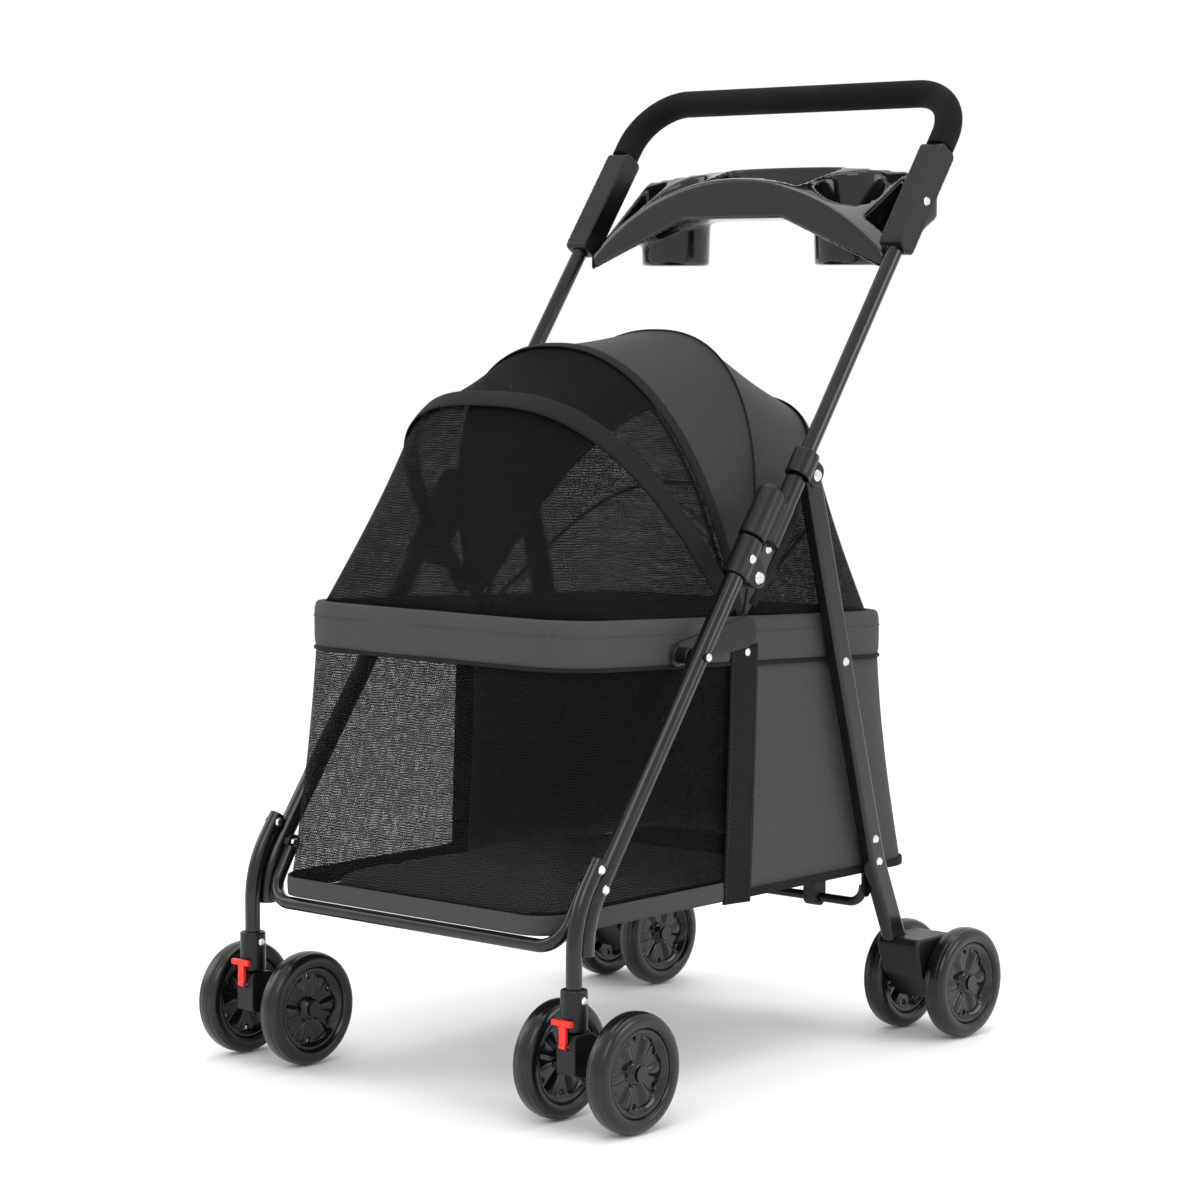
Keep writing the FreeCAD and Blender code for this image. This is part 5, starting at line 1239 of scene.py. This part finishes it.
class STROLLER_OT_stage(StrollerOperator):
    """Floor, soft studio light and camera"""

    bl_idname = "stroller.stage"
    bl_label = "Stage"

    def execute(self, context):
        self.floor()
        self.lights()
        self.camera()
        return {"FINISHED"}

    def floor(self):
        mesh = bpy.data.meshes.new("studio_floor")
        corners = ((-1, -1), (1, -1), (1, 1), (-1, 1))
        places = [(FLOOR_REACH * x, FLOOR_REACH * y, FLOOR_DEPTH) for x, y in corners]
        mesh.from_pydata(places, [], [(0, 1, 2, 3)])
        item = link_object("studio_floor", mesh)
        material, _, shader = start_material("pale_floor")
        shader.inputs["Base Color"].default_value = (0.985, 0.985, 0.985, 1)
        shader.inputs["Roughness"].default_value = 0.65
        mesh.materials.append(material)

    def lights(self):
        scene = bpy.context.scene
        world = bpy.data.worlds.new("studio_air")
        scene.world = world
        world.use_nodes = True
        shade = next(node for node in world.node_tree.nodes if node.type == "BACKGROUND")
        shade.inputs["Color"].default_value = (1, 1, 1, 1)
        shade.inputs["Strength"].default_value = 1.0
        scene.view_settings.view_transform = "Standard"
        for light in LIGHTS:
            self.area(*light)

    def area(self, name, place, size, power):
        light = bpy.data.lights.new(name, "AREA")
        light.size = size
        light.energy = power
        item = bpy.data.objects.new(name, light)
        bpy.context.scene.collection.objects.link(item)
        item.location = place
        aim = Vector(LIGHT_TARGET) - Vector(place)
        item.rotation_euler = aim.to_track_quat("-Z", "Y").to_euler()

    def camera(self):
        data = bpy.data.cameras.new("camera")
        data.sensor_width = 36.0
        data.lens = CAMERA_LENS
        data.clip_end = 50.0
        item = bpy.data.objects.new("camera", data)
        bpy.context.scene.collection.objects.link(item)
        target = Vector(CAMERA_TARGET)
        azimuth = math.radians(CAMERA_AZIMUTH)
        elevation = math.radians(CAMERA_ELEVATION)
        away = Vector((math.sin(azimuth) * math.cos(elevation), -math.cos(azimuth) * math.cos(elevation),
                       math.sin(elevation)))
        item.location = target + away * CAMERA_DISTANCE
        item.rotation_euler = (-away).to_track_quat("-Z", "Y").to_euler()
        bpy.context.scene.camera = item


class STROLLER_PT_panel(bpy.types.Panel):
    """Lists the stroller's settings and builders."""

    bl_label = "Pet Stroller"
    bl_idname = "STROLLER_PT_panel"
    bl_space_type = "VIEW_3D"
    bl_region_type = "UI"
    bl_category = "Stroller"

    def draw(self, context):
        layout = self.layout
        for group in (context.scene.stroller_colours, context.scene.stroller_sizes):
            for name in group.bl_rna.properties.keys():
                if name not in ("name", "rna_type"):
                    layout.prop(group, name)
        for operator in OPERATORS:
            layout.operator(operator.bl_idname)


OPERATORS = (
    STROLLER_OT_stage,
    STROLLER_OT_finishes,
    STROLLER_OT_canopy,
    STROLLER_OT_cabin,
    STROLLER_OT_straps,
    STROLLER_OT_caps,
    STROLLER_OT_mat,
    STROLLER_OT_wheels,
    STROLLER_OT_mouldings,
)
CLASSES = (StrollerColours, StrollerSizes, *OPERATORS, STROLLER_PT_panel)


def register():
    for item in CLASSES:
        bpy.utils.register_class(item)
    bpy.types.Scene.stroller_colours = PointerProperty(type=StrollerColours)
    bpy.types.Scene.stroller_sizes = PointerProperty(type=StrollerSizes)


def unregister():
    del bpy.types.Scene.stroller_sizes
    del bpy.types.Scene.stroller_colours
    for item in reversed(CLASSES):
        bpy.utils.unregister_class(item)


def main():
    register()
    bpy.ops.stroller.stage()
    bpy.ops.stroller.finishes()
    bpy.ops.stroller.canopy()
    bpy.ops.stroller.cabin()
    bpy.ops.stroller.straps()
    bpy.ops.stroller.caps()
    bpy.ops.stroller.mat()
    bpy.ops.stroller.wheels()
    bpy.ops.stroller.mouldings()


if __name__ == "__main__":
    main()
